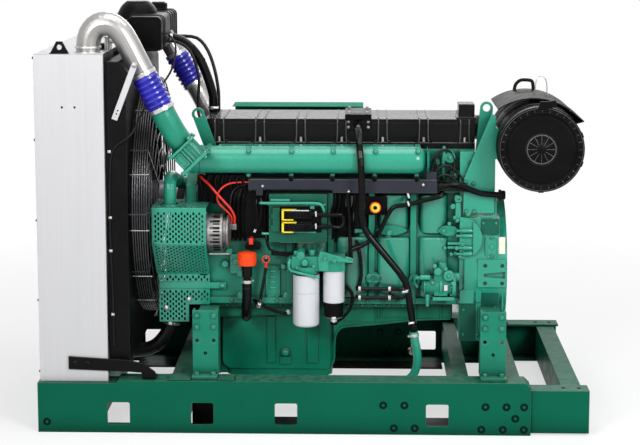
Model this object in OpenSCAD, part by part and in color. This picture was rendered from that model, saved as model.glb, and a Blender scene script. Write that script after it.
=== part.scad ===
// Six-cylinder diesel engine with its radiator on a skid frame.
// Stations along the engine are measured from the front end of the frame towards the flywheel.
// The front and the radiator are at -X, the flywheel at +X, the inlet side at -Y. Millimetres.

/* [Skid frame] */
// Length of the frame, end to end
frame_l = 2112; // [2080:1:2600]
// Width over the side rails
frame_w = 1110; // [1080:1:1400]
// Height of the main side rails
rail_h = 205; // [180:1:230]
// Length of the main side rails
rail_l = 1889; // [1830:1:1950]
// Plate thickness of the rails
rail_t = 8; // [6:0.5:12]
// Width of the rail flanges
rail_flange = 100; // [85:1:120]
// Drop of the rail top under the radiator
rail_drop = 11; // [6:1:20]
// Station where the rail rises to its full height
rail_step_at = 300; // [290:1:340]
// Chamfer on the flywheel end of the main rails
rail_chamfer = 20; // [10:1:21]
// Height of the rear rail extensions
extension_h = 175; // [150:1:180]
// Station where the extensions start inside the main rails
extension_at = 1676; // [1640:1:1720]
// Side of the square windows in the rails
window = 86; // [60:1:95]
// Height of the window centres above the floor
window_z = 77; // [65:1:90]
// Station of the first window
window_at = 311; // [280:1:340]
// Distance between the first three windows
window_pitch = 321.5; // [280:0.5:340]
// Station of the last window
window_last = 1532.5; // [1400:0.5:1600]
// Wall of the cross member tubes
cross_t = 6; // [4:0.5:10]
// Height of the cross member tubes
cross_h = 140; // [100:1:150]

/* [Engine mounts] */
// Station of the middle of the front mounts
front_mount_at = 640; // [620:1:660]
// Station of the middle of the rear mounts
rear_mount_at = 1748; // [1735:1:1755]
// Width of a mount bracket along the engine
mount_w = 98; // [80:1:105]
// Height of the mount brackets
mount_h = 258; // [230:1:280]
// Distance from a mount's outer face to the rail's outer face
mount_inset = 75; // [60:1:85]
// Plate thickness of the mount brackets
mount_t = 12; // [8:1:16]

/* [Engine] */
// Height of the crankshaft centreline
crank_z = 567; // [550:1:620]
// Station of the front face of the block
block_at = 586; // [580:1:600]
// Length of the block
block_l = 1041; // [1000:1:1060]
// Half width of the crankcase
block_y = 250; // [230:1:260]
// Depth of the crankcase joint below the crankshaft
joint_below = 126; // [110:1:140]
// Height of the head joint above the crankshaft
deck_above = 344; // [320:1:370]
// Height of the cylinder head
head_h = 140; // [120:1:160]
// Half width of the cylinder head
head_y = 190; // [170:1:205]
// Height of the valve cover
cover_h = 116; // [95:1:130]
// Half width of the valve cover
cover_y = 150; // [130:1:165]
// Distance between two cylinders
cylinder_pitch = 163; // [150:1:166]
// Height of the deep part of the oil sump below the crankcase joint
sump_deep = 291; // [240:1:300]
// Height of the shallow part of the oil sump
sump_shallow = 75; // [60:1:100]

/* [Flywheel end] */
// Station of the flywheel housing's rear face
housing_face = 1816; // [1800:1:1830]
// Outer radius of the flywheel housing's flange
housing_r = 276.2; // [276.2:0.1:290]
// Radius of the pilot bore in the housing
pilot_r = 255.6; // [255.6:0.1:256]
// Pitch circle diameter of the housing's bolts
housing_pcd = 530.2; // [530:0.1:531]
// Radius of the housing's bolt holes
housing_hole_r = 5.25; // [4:0.05:6]
// Number of bolts on the housing
housing_holes = 12; // [12:1:12]
// Radius of the flywheel
flywheel_r = 247; // [240:1:250]
// Radius of the recess for the coupling
coupling_r = 233.4; // [233.4:0.1:234]
// Pitch circle diameter of the coupling bolts
coupling_pcd = 438.2; // [438:0.1:439]
// Number of coupling bolts
coupling_holes = 8; // [8:1:8]
// Radius of the coupling bolt holes
coupling_hole_r = 5; // [4:0.05:6]

/* [Cooling] */
// Height of the radiator's foot above the floor
radiator_z = 194; // [190:1:230]
// Height of the radiator
radiator_h = 1260; // [1150:1:1270]
// Width of the radiator across the frame
radiator_w = 1050; // [1030:1:1060]
// Station of the front edge of the radiator's side panels
radiator_at = 6; // [0:1:20]
// Depth of the radiator's side panels along the engine
radiator_d = 262; // [240:1:264]
// Sheet thickness of the side panels
panel_t = 5; // [3:0.5:8]
// Height of the fan centre
fan_z = 837; // [820:1:860]
// Radius of the fan
fan_r = 445; // [400:1:448]
// Number of fan blades
fan_blades = 9; // [6:1:11]
// Gap between the fan and the shroud's ring
fan_gap = 12; // [8:1:15]
// Radius of the fan shaft
fan_shaft_r = 30; // [24:0.5:36]
// Gap between the shaft and the fan's bore
fan_fit = 0.05; // [0.02:0.01:0.09]
// Depth of the fan shroud
shroud_d = 78; // [75:1:82]
// Distance from the shroud's sides to the radiator's sides
shroud_inset = 25; // [15:1:40]
// Height of the fan shroud
shroud_h = 1163; // [1100:1:1170]
// Radius of the wire guard's rings
guard_r = 475; // [465:1:485]
// Radius of the guard's wires
guard_wire = 3; // [2:0.5:4]
// Number of rings around the fan
guard_rings = 7; // [4:1:8]

/* [Charge air and air filter] */
// Radius of the charge pipes
charge_r = 46; // [40:1:50]
// Radius of the bellows hoses
bellows_r = 50; // [48:1:56]
// Distance of the charge pipes from the middle of the engine
charge_y = 425; // [400:1:440]
// Radius of the inlet manifold
manifold_r = 54; // [48:1:58]
// Radius of the air filter
filter_r = 164; // [150:1:170]
// Length of the air filter
filter_l = 480; // [440:1:520]
// Station of the air filter's axis
filter_at = 1926; // [1910:1:1936]
// Height of the air filter's axis
filter_z = 1087; // [1070:1:1110]

/* [Service parts] */
// Radius of the tall oil filter
oil_filter_r = 52; // [46:1:56]
// Radius of the short fuel filter
fuel_filter_r = 42; // [38:1:46]
// Radius of the breather pipe
breather_r = 13.5; // [11:0.5:16]
// Radius of the alternator's body
alternator_r = 72; // [66:1:74]

/* [Hidden] */
$fn = 48;

// Colours
green = "seagreen";
black = "dimgray";
silver = "lightgray";
white = "white";
blue = "royalblue";
orange = "orangered";

// Gap between pieces that only face each other
seat = 0.3;
// Overlap of cutting tools past a face
cut = 1;

// Levels of the engine
crank_design_z = 567;
joint_z = crank_z - joint_below;
deck_z = crank_z + deck_above;
head_z = deck_z + head_h;
cover_z = head_z + cover_h;
block_end = block_at + block_l;

// Moves stations so that the frame's middle is at X = 0
module from_front() {
    translate([-frame_l / 2, 0, 0]) children();
}

// Box between two stations, two Y and two Z
module box(x, y, z) {
    translate([x[0], y[0], z[0]]) cube([x[1] - x[0], y[1] - y[0], z[1] - z[0]]);
}

// Outline in X and Z, given thickness between two Y
module side_plate(y) {
    translate([0, y[1], 0]) rotate([90, 0, 0]) linear_extrude(y[1] - y[0]) children();
}

// Outline in Y and Z, given thickness between two stations
module end_plate(x) {
    translate([x[0], 0, 0]) rotate([90, 0, 90]) linear_extrude(x[1] - x[0]) children();
}

// Cylinder along X between two stations
module rod_x(x, y, z, r) {
    translate([x[0], y, z]) rotate([0, 90, 0]) cylinder(h = x[1] - x[0], r = r);
}

// Cylinder along Y between two Y
module rod_y(x, y, z, r) {
    translate([x, y[0], z]) rotate([-90, 0, 0]) cylinder(h = y[1] - y[0], r = r);
}

// Cylinder along Z between two Z
module rod_z(x, y, z, r) {
    translate([x, y, z[0]]) cylinder(h = z[1] - z[0], r = r);
}

// Rectangle with round corners
module round_rect(size, r) {
    offset(r) offset(-r) square(size, center = true);
}

// The same piece on both sides of the engine
module both_sides() {
    children();
    mirror([0, 1, 0]) children();
}

// Hose or bent pipe swept along a smoothed route
function unit(v) = v / norm(v);

// A route given for the design height of the crankshaft, moved with it
function raised(route) = [for (p = route) p + [0, 0, crank_z - crank_design_z]];
function blend(a, b, c, d, t) = 0.5 * (2 * b + (c - a) * t + (2 * a - 5 * b + 4 * c - d) * t * t
    + (3 * b - a - 3 * c + d) * t * t * t);
function smooth_route(p, k) = let (n = len(p) - 1)
    [for (i = [0 : n - 1], j = [0 : k - 1])
        blend(p[max(i - 1, 0)], p[i], p[i + 1], p[min(i + 2, n)], j / k), p[n]];
function tangents(p, from, to) = let (n = len(p) - 1)
    [from, for (i = [1 : n - 1]) unit(p[i + 1] - p[i - 1]), to];
function across(n, t) = unit(n - (n * t) * t);
function normals(t, n, i = 0) = i == len(t) ? [] : let (m = across(n, t[i]))
    concat([m], normals(t, m, i + 1));
function first_normal(t) = across(abs(t[2]) > 0.9 ? [1, 0, 0] : [0, 0, 1], t);

module hose(route, r, sides = 12, steps = 4) {
    path = smooth_route(route, steps);
    end = len(route) - 1;
    t = tangents(path, unit(route[1] - route[0]), unit(route[end] - route[end - 1]));
    n = normals(t, first_normal(t[0]));
    last = len(path) - 1;
    points = [for (i = [0 : last], j = [0 : sides - 1]) let (a = 360 * j / sides)
        path[i] + r * (cos(a) * n[i] + sin(a) * cross(t[i], n[i]))];
    walls = [for (i = [0 : last - 1], j = [0 : sides - 1]) let (k = (j + 1) % sides)
        [i * sides + j, (i + 1) * sides + j, (i + 1) * sides + k, i * sides + k]];
    caps = [[for (j = [0 : sides - 1]) j], [for (j = [sides - 1 : -1 : 0]) last * sides + j]];
    polyhedron(points, concat(walls, caps));
}

// ---- Skid frame ----
window_r = 8;
windows = [window_at, window_at + window_pitch, window_at + 2 * window_pitch, window_last];
rail_y = frame_w / 2;
rail_low_z = rail_h - rail_drop;
rail_step_end = rail_step_at + rail_drop;

// Outline of the rail's top, from the front end to the chamfer
function rail_top(drop) = [[0, rail_low_z - drop], [rail_step_at, rail_low_z - drop],
    [rail_step_end, rail_h - drop], [rail_l - rail_chamfer, rail_h - drop],
    [rail_l, rail_h - rail_chamfer - drop]];

module rail() {
    color(green) from_front() {
        side_plate([-rail_y, rail_t - rail_y]) difference() {
            polygon(concat([[rail_l, 0], [0, 0]], rail_top(0)));
            for (x = windows) translate([x, window_z]) round_rect([window, window], window_r);
        }
        side_plate([-rail_y, rail_flange - rail_y])
            polygon([for (p = rail_top(0)) p, for (i = [4 : -1 : 0]) rail_top(rail_t)[i]]);
        box([0, rail_l], [-rail_y, rail_flange - rail_y], [0, rail_t]);
    }
}

module rail_near() {
    rail();
}

module rail_far() {
    mirror([0, 1, 0]) rail();
}

extension_y = rail_y - rail_t - seat;
extension_z = rail_t + seat;
extension_flange = 82;
extension_hole_r = 9;
extension_hole_in = 42;
extension_hole_from_end = [36, 96];

module extension() {
    color(green) from_front() difference() {
        union() {
            box([extension_at, frame_l], [-extension_y, rail_t - extension_y], [extension_z, extension_h]);
            for (z = [extension_z, extension_h - rail_t])
                box([extension_at, frame_l], [-extension_y, extension_flange - extension_y],
                    [z, z + rail_t]);
        }
        for (d = extension_hole_from_end)
            rod_z(frame_l - d, extension_hole_in - extension_y,
                [extension_h - 2 * rail_t, extension_h + cut],
                extension_hole_r);
    }
}

module rail_extensions() {
    both_sides() extension();
}

// A square tube across the frame, from web to web
module crossmember(x, y, z) {
    difference() {
        box(x, [-y, y], z);
        box([x[0] + cross_t, x[1] - cross_t], [-y - cut, y + cut], [z[0] + cross_t, z[1] - cross_t]);
    }
}

cross_y = rail_y - rail_t - seat;
cross_end_y = extension_y - rail_t - seat;
cross_top = rail_low_z - rail_t - seat;
cross_radiator_x = [24, 250];
cross_radiator_w = 84;
cross_mount_x = [500, 580];
cross_rear_x = [1600, 1660];
cross_pair_x = [1806, 1866];
cross_end_w = 76;
cross_end_in = 21;
cross_end_top = extension_h - rail_t - seat;

module crossmembers() {
    radiator_x = [for (x = [cross_radiator_x[0], cross_radiator_x[1] - cross_radiator_w]) [x,
        x + cross_radiator_w]];
    color(green) from_front() {
        for (x = concat(radiator_x, [cross_mount_x, cross_rear_x]))
            crossmember(x, cross_y, [cross_top - cross_h, cross_top]);
        for (x = [cross_pair_x, [frame_l - cross_end_in - cross_end_w, frame_l - cross_end_in]])
            crossmember(x, cross_end_y, [cross_end_top - cross_h, cross_end_top]);
    }
}

// ---- Engine mounts ----
mount_y = rail_y - mount_inset;
mount_z = rail_h;
mount_depth = 80;
mount_rib = 8;
mount_bolt_r = 7;
mount_bolt_dx = 32;
mount_bolts_z = [mount_z + mount_h - 19, mount_z + mount_h - 63, mount_z + mount_h - 117];
mount_low_hole_z = mount_z + mount_h - 168;
mount_foot_out = 52;
mount_arm_z = [mount_z + mount_h - 100, mount_z + mount_h - 30];

// Upright bracket with two side ribs and a bent foot on the rail
module mount(at) {
    x = [at - mount_w / 2, at + mount_w / 2];
    color(green) from_front() difference() {
        union() {
            box(x, [-mount_y, mount_t - mount_y], [mount_z, mount_z + mount_h]);
            box(x, [-mount_y - mount_foot_out, mount_depth - mount_y], [mount_z, mount_z + mount_t]);
            for (s = [x[0], x[1] - mount_rib])
                translate([s, 0, 0]) end_plate([0, mount_rib]) polygon([
                    [-mount_y, mount_z], [mount_depth - mount_y, mount_z],
                    [mount_depth / 2 - mount_y, mount_z + mount_h], [-mount_y, mount_z + mount_h]]);
        }
        rod_y(at, [-mount_y - cut, mount_t - mount_y + cut], mount_low_hole_z, mount_bolt_r);
        for (s = [-1, 1], z = mount_bolts_z)
            rod_y(at + s * mount_bolt_dx, [-mount_y - cut, mount_t - mount_y + cut], z, mount_bolt_r);
        for (s = [-1, 1])
            rod_z(at + s * mount_bolt_dx, -mount_y - mount_foot_out / 2,
                [mount_z - cut, mount_z + mount_t + cut],
                mount_bolt_r);
    }
}

module mount_brackets() {
    both_sides() for (at = [front_mount_at, rear_mount_at]) mount(at);
}

arm_w = 76;
arm_root_h = 130;

// Cast arms from the engine's sides to the brackets
module arm(at, root_y) {
    tip_y = mount_y - mount_t - seat;
    translate([at - arm_w / 2, 0, 0]) end_plate([0, arm_w]) polygon([
        [-tip_y, mount_arm_z[0]], [-root_y, mount_arm_z[1] - arm_root_h],
        [-root_y, mount_arm_z[1]], [-tip_y, mount_arm_z[1]]]);
}

housing_side_y = 262;

module mount_arms() {
    color(green) from_front() both_sides() {
        arm(front_mount_at, block_y + block_rib_out + seat);
        arm(rear_mount_at, housing_side_y + seat);
    }
}

// ---- Oil sump ----
sump_at = 620;
sump_end = 1456;
sump_deep_x = [681, 1134];
sump_flange_h = 18;
sump_flange_y = 238;
sump_y = 196;
sump_deep_y = 178;
sump_corner = 26;
sump_rib_x = [[862, 894], [1024, 1066]];
sump_rib_out = 6;
drain_pad = [[914, 956], [170, 200]];
sump_rise = 35;
drain_r = 18;
drain_z = 222;
drain_at = 935;

module oil_sump() {
    top = joint_z - seat;
    deep_z = joint_z - sump_deep;
    color(green) from_front() {
        box([sump_at, sump_end], [-sump_flange_y, sump_flange_y], [top - sump_flange_h, top]);
        side_plate([-sump_y, sump_y]) polygon([
            [sump_at + sump_corner, top - sump_flange_h], [sump_at + sump_corner, joint_z - sump_shallow],
            [sump_end - sump_corner, joint_z - sump_shallow + sump_rise],
            [sump_end - sump_corner, top - sump_flange_h]]);
        side_plate([-sump_deep_y, sump_deep_y]) offset(sump_corner) offset(-sump_corner) polygon([
            [sump_deep_x[0], joint_z - sump_flange_h - cut], [sump_deep_x[0], deep_z + sump_corner],
            [sump_deep_x[0] + sump_corner, deep_z], [sump_deep_x[1] - sump_corner, deep_z],
            [sump_deep_x[1], deep_z + sump_corner], [sump_deep_x[1], joint_z - sump_flange_h - cut]]);
        for (x = sump_rib_x)
            box(x, [-sump_deep_y - sump_rib_out, sump_deep_y + sump_rib_out],
                [deep_z + sump_corner, joint_z - sump_shallow]);
        box(drain_pad[0], [-sump_deep_y - sump_rib_out, -sump_deep_y + cut], drain_pad[1]);
        rod_y(drain_at, [-sump_deep_y - 2 * sump_rib_out, -sump_deep_y + cut], drain_z, drain_r);
    }
}

// ---- Block ----
block_upper_y = 226;
block_shoulder_z = crank_z + 150;
block_rib_x = [956, 1119, 1281, 1445];
block_rib_w = 22;
block_rib_out = 14;
rail_pad_h = 24;
boss_row_z = crank_z + 172;
boss_w = [128, 84];
boss_at = [1358, 1584];
boss_h = 42;
boss_out = 40;
round_boss_at = 1451;
round_boss_z = crank_z - 27;
round_boss_r = 24;
round_boss_hole_r = 10;
core_plug_r = 27;
side_cover = [[862, 918], [crank_z - 108, crank_z + 26]];
side_cover_out = 9;
core_plug_at = 1288;
core_plug_z = crank_z - 22;

module almond(w, h) {
    intersection() {
        translate([0, (w * w / h - h) / 4]) circle((w * w / h + h) / 4);
        translate([0, -(w * w / h - h) / 4]) circle((w * w / h + h) / 4);
    }
}

module cylinder_block() {
    color(green) from_front() difference() {
        union() {
            end_plate([block_at, block_end]) polygon([
                [-block_y, joint_z], [block_y, joint_z], [block_y, block_shoulder_z],
                [block_upper_y, block_shoulder_z + 2 * rail_pad_h], [block_upper_y, deck_z],
                [-block_upper_y, deck_z], [-block_upper_y, block_shoulder_z + 2 * rail_pad_h],
                [-block_y, block_shoulder_z]]);
            both_sides() for (x = block_rib_x)
                box([x - block_rib_w / 2, x + block_rib_w / 2], [-block_y - block_rib_out, -block_upper_y],
                    [joint_z + rail_pad_h, deck_z - rail_pad_h]);
            both_sides() box([block_at, block_end], [-block_y - block_rib_out, -block_y + cut],
                [joint_z, joint_z + rail_pad_h]);
            both_sides() box([block_at, block_end], [-block_y, -block_upper_y + cut],
                [deck_z - rail_pad_h, deck_z]);
            for (i = [0, 1])
                side_plate([-block_upper_y - boss_out, -block_upper_y + cut])
                    translate([boss_at[i], boss_row_z]) almond(boss_w[i], boss_h);
            rod_y(round_boss_at, [-block_y - 2 * block_rib_out, -block_y + cut], round_boss_z,
                round_boss_r);
            rod_y(core_plug_at, [-block_y - block_rib_out, -block_y + cut], core_plug_z, core_plug_r);
            box(side_cover[0], [-block_y - side_cover_out, -block_y + cut], side_cover[1]);
        }
        rod_y(round_boss_at, [-block_y - 2 * block_rib_out - cut, -block_y], round_boss_z,
            round_boss_hole_r);
    }
}

// ---- Front end ----
front_cover_d = 40;
front_cover_y = 232;
damper_r = 132;
damper_x = [452, 492];
damper_hub_r = 66;
damper_groove = 5;
belt_x = [500, 528];
pulley_r = 95;
fan_pulley_r = 88;
belt_t = 8;
crank_nose_r = 40;
cover_chamfer = 60;

module front_cover() {
    z = [joint_z, deck_z + head_h / 2];
    color(green) from_front() end_plate([block_at - front_cover_d, block_at - seat]) polygon([
        [-front_cover_y + cover_chamfer, z[0]], [front_cover_y - cover_chamfer, z[0]],
        [front_cover_y, z[0] + cover_chamfer], [front_cover_y, deck_z],
        [front_cover_y - 2 * cover_chamfer, z[1]], [-front_cover_y + 2 * cover_chamfer, z[1]],
        [-front_cover_y, deck_z], [-front_cover_y, z[0] + cover_chamfer]]);
}

module damper() {
    color(black) from_front() {
        difference() {
            rod_x(damper_x, 0, crank_z, damper_r);
            rod_x([damper_x[0] - cut, damper_x[0] + damper_groove], 0, crank_z,
                damper_r - 3 * damper_groove);
        }
        rod_x([damper_x[0] - damper_groove, damper_x[1]], 0, crank_z, damper_hub_r);
        rod_x([damper_x[1], belt_x[1] + damper_groove], 0, crank_z, pulley_r - belt_t - seat);
        rod_x([belt_x[1], block_at - front_cover_d - seat], 0, crank_z, crank_nose_r);
    }
}

fan_pulley_hub_r = 55;
fan_carrier_r = 44;
fan_x = 328;
fan_half = 34;
fan_nose = 14;

alternator_y = -323;
alternator_z = crank_z + 174;
alternator_pulley_r = 42;

// Belt around the crank pulley, the fan pulley and the alternator pulley
module belt_outline(grow) {
    hull() {
        translate([0, crank_z]) circle(pulley_r - belt_t + grow, $fn = 32);
        translate([0, fan_z]) circle(fan_pulley_r - belt_t + grow, $fn = 32);
        translate([alternator_y, alternator_z]) circle(alternator_pulley_r + grow, $fn = 32);
    }
}

module belt() {
    color(black) from_front() end_plate(belt_x) difference() {
        belt_outline(belt_t);
        belt_outline(3 * seat);
    }
}

// Fan pulley, its shaft and the carrier on the front cover; the fan turns on the shaft
module fan_drive() {
    color(black) from_front() {
        rod_x(belt_x, 0, fan_z, fan_pulley_r - belt_t);
        rod_x([belt_x[1], block_at - front_cover_d - seat], 0, fan_z, fan_carrier_r);
        rod_x([fan_x + fan_half + 5, belt_x[0]], 0, fan_z, fan_pulley_hub_r);
        rod_x([fan_x - fan_half - fan_nose, fan_x + fan_half + 6], 0, fan_z, fan_shaft_r);
        rod_x([fan_x - fan_half - fan_nose, fan_x - fan_half - 5], 0, fan_z, fan_shaft_r + 10);
    }
}

// ---- Fan ----
blade_root_r = 118;
blade_chord = 116;
blade_t = 5;
blade_pitch = 52;
blade_curve_r = 210;
fan_hub_r = 125;
fan_hub_wall = 8;

// Cambered blade section: a thin arc as wide as the chord
module blade_section() {
    rise = blade_curve_r - sqrt(blade_curve_r * blade_curve_r - blade_chord * blade_chord / 4);
    translate([0, rise / 2 - blade_curve_r]) intersection() {
        difference() {
            circle(blade_curve_r + blade_t / 2, $fn = 120);
            circle(blade_curve_r - blade_t / 2, $fn = 120);
        }
        translate([-blade_chord / 2, 0]) square([blade_chord, 2 * blade_curve_r]);
    }
}

module fan() {
    color(black) from_front() translate([fan_x, 0, fan_z]) rotate([0, 90, 0]) {
        difference() {
            union() {
                difference() {
                    cylinder(h = 2 * fan_half, r = fan_hub_r, center = true);
                    translate([0, 0, -fan_half - cut]) cylinder(h = fan_half,
                        r = fan_hub_r - fan_hub_wall);
                }
                intersection() {
                    for (i = [0 : fan_blades - 1]) rotate([0, 0, i * 360 / fan_blades])
                        translate([blade_root_r, 0, 0]) rotate([90, 0, 90])
                            linear_extrude(fan_r) rotate(90 - blade_pitch) blade_section();
                    difference() {
                        cylinder(h = 2 * fan_half, r = fan_r, center = true);
                        cylinder(h = 2 * fan_half + cut, r = blade_root_r, center = true);
                    }
                }
            }
            cylinder(h = 3 * fan_half, r = fan_shaft_r + fan_fit, center = true);
        }
    }
}

// ---- Shroud and guard ----
shroud_at = radiator_at + radiator_d + 4;
shroud_z = 262;
shroud_w = radiator_w - 2 * shroud_inset;
shroud_chamfer = [30, 52];
shroud_wall = 6;
shroud_ring_h = 18;

module fan_shroud() {
    x = [shroud_at, shroud_at + shroud_d];
    y = shroud_w / 2;
    color(black) from_front() difference() {
        union() {
            side_plate([-y, y]) polygon([[x[0], shroud_z], [x[1], shroud_z],
                [x[1], shroud_z + shroud_h - shroud_chamfer[1]],
                    [x[1] - shroud_chamfer[0], shroud_z + shroud_h],
                [x[0], shroud_z + shroud_h]]);
            rod_x([x[1] - cut, x[1] + shroud_ring_h], 0, fan_z, fan_r + fan_gap + shroud_wall);
        }
        side_plate([shroud_wall - y, y - shroud_wall]) offset(-shroud_wall)
            polygon([[x[0] - 2 * shroud_wall, shroud_z],
            [x[1], shroud_z], [x[1], shroud_z + shroud_h - shroud_chamfer[1]],
            [x[1] - shroud_chamfer[0], shroud_z + shroud_h],
                [x[0] - 2 * shroud_wall, shroud_z + shroud_h]]);
        rod_x([x[0], x[1] + shroud_ring_h + cut], 0, fan_z, fan_r + fan_gap);
    }
}

guard_x = [364, 418];
guard_hub_r = 115;
guard_spokes = 12;
guard_clip_w = 2.5;

module wire_ring(x, r) {
    translate([x, 0, fan_z]) rotate([0, 90, 0]) rotate_extrude($fn = 72)
        translate([r, 0]) circle(guard_wire, $fn = 16);
}

module fan_guard() {
    pitch = (guard_x[1] - guard_x[0]) / (guard_rings - 1);
    ring_in = (guard_r - guard_hub_r) / 5;
    color(black) from_front() {
        for (i = [0 : guard_rings - 1]) wire_ring(guard_x[0] + i * pitch, guard_r);
        for (i = [1 : 5]) wire_ring(guard_x[1], guard_r - i * ring_in);
        for (a = [0 : 360 / guard_spokes : 359]) translate([0, 0, fan_z]) rotate([a, 0, 0]) {
            box([guard_x[1] - guard_clip_w, guard_x[1] + guard_clip_w], [-guard_r, -guard_hub_r],
                [-guard_clip_w, guard_clip_w]);
            box([shroud_at + shroud_d + seat, guard_x[1] + guard_clip_w],
                [-guard_r - guard_clip_w, -guard_r + guard_clip_w],
                [-guard_clip_w, guard_clip_w]);
        }
    }
}

// ---- Radiator ----
core_in = 14;
core_x = [30, 232];
tank_h = 90;
panel_lip = 18;
radiator_top_z = radiator_z + radiator_h;
radiator_y = radiator_w / 2;

module radiator_core() {
    y = radiator_y - panel_t - seat;
    z = [radiator_z, radiator_top_z];
    color(black) from_front() {
        box(core_x, [-y, y], [z[0] + tank_h, z[1] - tank_h]);
        for (s = [z[0], z[1] - tank_h])
            box([core_x[0] - core_in, core_x[1] + core_in], [-y, y], [s, s + tank_h]);
    }
}

eye_x = [65, 138];
eye_top = 48;
eye_tip_w = 22;
eye_hole_r = 10;
eye_t = 10;

module radiator_panels() {
    color(silver) from_front() both_sides() {
        box([radiator_at, radiator_at + radiator_d], [-radiator_y, panel_t - radiator_y],
            [radiator_z, radiator_top_z]);
        for (x = [radiator_at, radiator_at + radiator_d - panel_t])
            box([x, x + panel_t], [-radiator_y, panel_lip - radiator_y], [radiator_z, radiator_top_z]);
    }
}

stay_t = 8;
stay_w = 50;
stay_z = 268;
stay_end_x = 452;
stay_foot_l = 56;
stay_from = 118;

// Curved flat stays from the radiator's sides down to the rails
module radiator_stays() {
    r_bend = 46;
    top_z = stay_z + stay_w / 2;
    y = [-radiator_y - seat - stay_t, -radiator_y - seat];
    color(black) from_front() both_sides() {
        side_plate(y) difference() {
            union() {
                polygon([[stay_from, top_z - stay_w], [stay_from, top_z],
                    [stay_end_x - r_bend - 60, top_z - 14], [stay_end_x - r_bend, top_z - 26],
                    [stay_end_x, top_z - 60], [stay_end_x, rail_h], [stay_end_x - stay_w, rail_h],
                    [stay_end_x - stay_w - 4, top_z - 62],
                        [stay_end_x - stay_w - 60, top_z - stay_w - 8]]);
            }
            for (i = [0, 1]) translate([stay_from + 26 + i * 48, top_z - stay_w / 2]) circle(6);
        }
        box([stay_end_x - stay_w, stay_end_x], [min(y[0], rail_flange / 2 - rail_y), y[0] + stay_foot_l],
            [rail_h, rail_h + stay_t]);
    }
}

module lifting_eye_plate(y) {
    side_plate([y, y + eye_t]) difference() {
        polygon([[eye_x[0], radiator_top_z + seat], [(eye_x[0] + eye_x[1] - eye_tip_w) / 2,
            radiator_top_z + eye_top],
            [(eye_x[0] + eye_x[1] + eye_tip_w) / 2, radiator_top_z + eye_top],
                [eye_x[1], radiator_top_z + seat]]);
        translate([(eye_x[0] + eye_x[1]) / 2, radiator_top_z + eye_top - 22]) circle(eye_hole_r);
    }
}

// ---- Charge air ----
turbo_at = 905;
turbo_y = 385;
turbo_z = crank_z + 443;
pipe_near = [[198, -charge_y, radiator_top_z + seat], [198, -charge_y, 1480], [208, -charge_y, 1526],
    [238, -charge_y, 1558], [282, -charge_y, 1562], [320, -charge_y, 1536], [350, -charge_y, 1488],
    [378, -charge_y, 1432], [404, -charge_y, 1380]];
hose_near_end = [479, -charge_y, 1230];
elbow_route = [[479, -charge_y, 1230], [494, -charge_y, 1200], [520, -charge_y + 8, 1150],
    [548, -charge_y + 26, crank_z + 537],
    [572, -charge_y + 60, crank_z + 503]];

module charge_pipe_near() {
    color(silver) from_front() hose(pipe_near, charge_r, 24, 3);
}

bellows_turns = 6;
bellows_in = 6;

// Bellows hose with convolutions, between two points
module bellows(from, to) {
    l = norm(to - from) - 2 * seat;
    d = unit(to - from);
    turn = l / (bellows_turns + 2);
    translate(from + seat * d) rotate([0, acos(d[2]), atan2(d[1], d[0])]) rotate_extrude($fn = 48)
        polygon([[0, 0], [bellows_r - 2, 0], [bellows_r - 2, turn],
            for (i = [0 : bellows_turns - 1]) each [[bellows_r + 2, (i + 1.25) * turn],
                [bellows_r + 2, (i + 1.6) * turn], [bellows_r - bellows_in, (i + 1.92) * turn]],
            [bellows_r - 2, l - turn], [bellows_r - 2, l], [0, l]]);
}

module charge_hoses() {
    color(blue) from_front() {
        bellows(pipe_near[8], hose_near_end);
        bellows(far_pipe_up[7], far_pipe_down[0]);
    }
}

far_pipe_up = [[198, charge_y, radiator_top_z + seat], [198, charge_y, 1480], [212, charge_y, 1524],
    [256, charge_y, 1556], [310, charge_y, 1548], [362, charge_y, 1496], [404, charge_y, 1432],
    [432, charge_y, 1384]];
boost_at = [1010, 245, crank_z + 485];
far_pipe_down = [[516, charge_y, 1240], [537, charge_y, 1204], [582, charge_y - 24, crank_z + 563],
    [650, charge_y - 84, boost_at[2] + 22],
    [740, boost_at[1] + 22, boost_at[2]], [830, boost_at[1], boost_at[2]], [930, boost_at[1], boost_at[2]],
    [boost_at[0] - seat, boost_at[1], boost_at[2]]];

module charge_pipe_far() {
    color(silver) from_front() {
        hose(far_pipe_up, charge_r - 4, 20, 3);
        hose(far_pipe_down, charge_r - 4, 20, 3);
    }
}

manifold_x = [567, 1501];
manifold_y = -276;
manifold_z = crank_z + 455;
manifold_flat = 50;

module inlet_manifold() {
    l = manifold_x[1] - manifold_x[0];
    color(green) from_front() {
        translate([manifold_x[0], manifold_y, manifold_z]) rotate([0, 90, 0]) rotate_extrude($fn = 64)
            intersection() {
                union() {
                    square([manifold_r, l - manifold_r]);
                    translate([0, l - manifold_r]) circle(manifold_r);
                }
                square([manifold_r, l]);
            }
        box([block_at + 90, manifold_x[1] - manifold_r], [manifold_y, -head_y - seat],
            [manifold_z - manifold_flat, manifold_z + manifold_flat - cut]);
    }
}

elbow_block = [98, 120, 62];
elbow_block_at = [571, -336, crank_z + 489];
elbow_neck = 30;

module inlet_elbow() {
    color(green) from_front() {
        hose(elbow_route, charge_r, 24, 4);
        difference() {
            translate(elbow_block_at) rotate([0, 45, 0]) cube(elbow_block, center = true);
            rod_x([manifold_x[0] - elbow_neck, manifold_x[1]], manifold_y, manifold_z, manifold_r + seat);
        }
    }
}

// ---- Expansion tank ----
tank_x = [313, 451];
tank_y = [-200, 345];
tank_z = [1440, 1576];
tank_r = 22;
dome_r = 84;
dome_at = [326, 40];
dome_h = 50;

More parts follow.
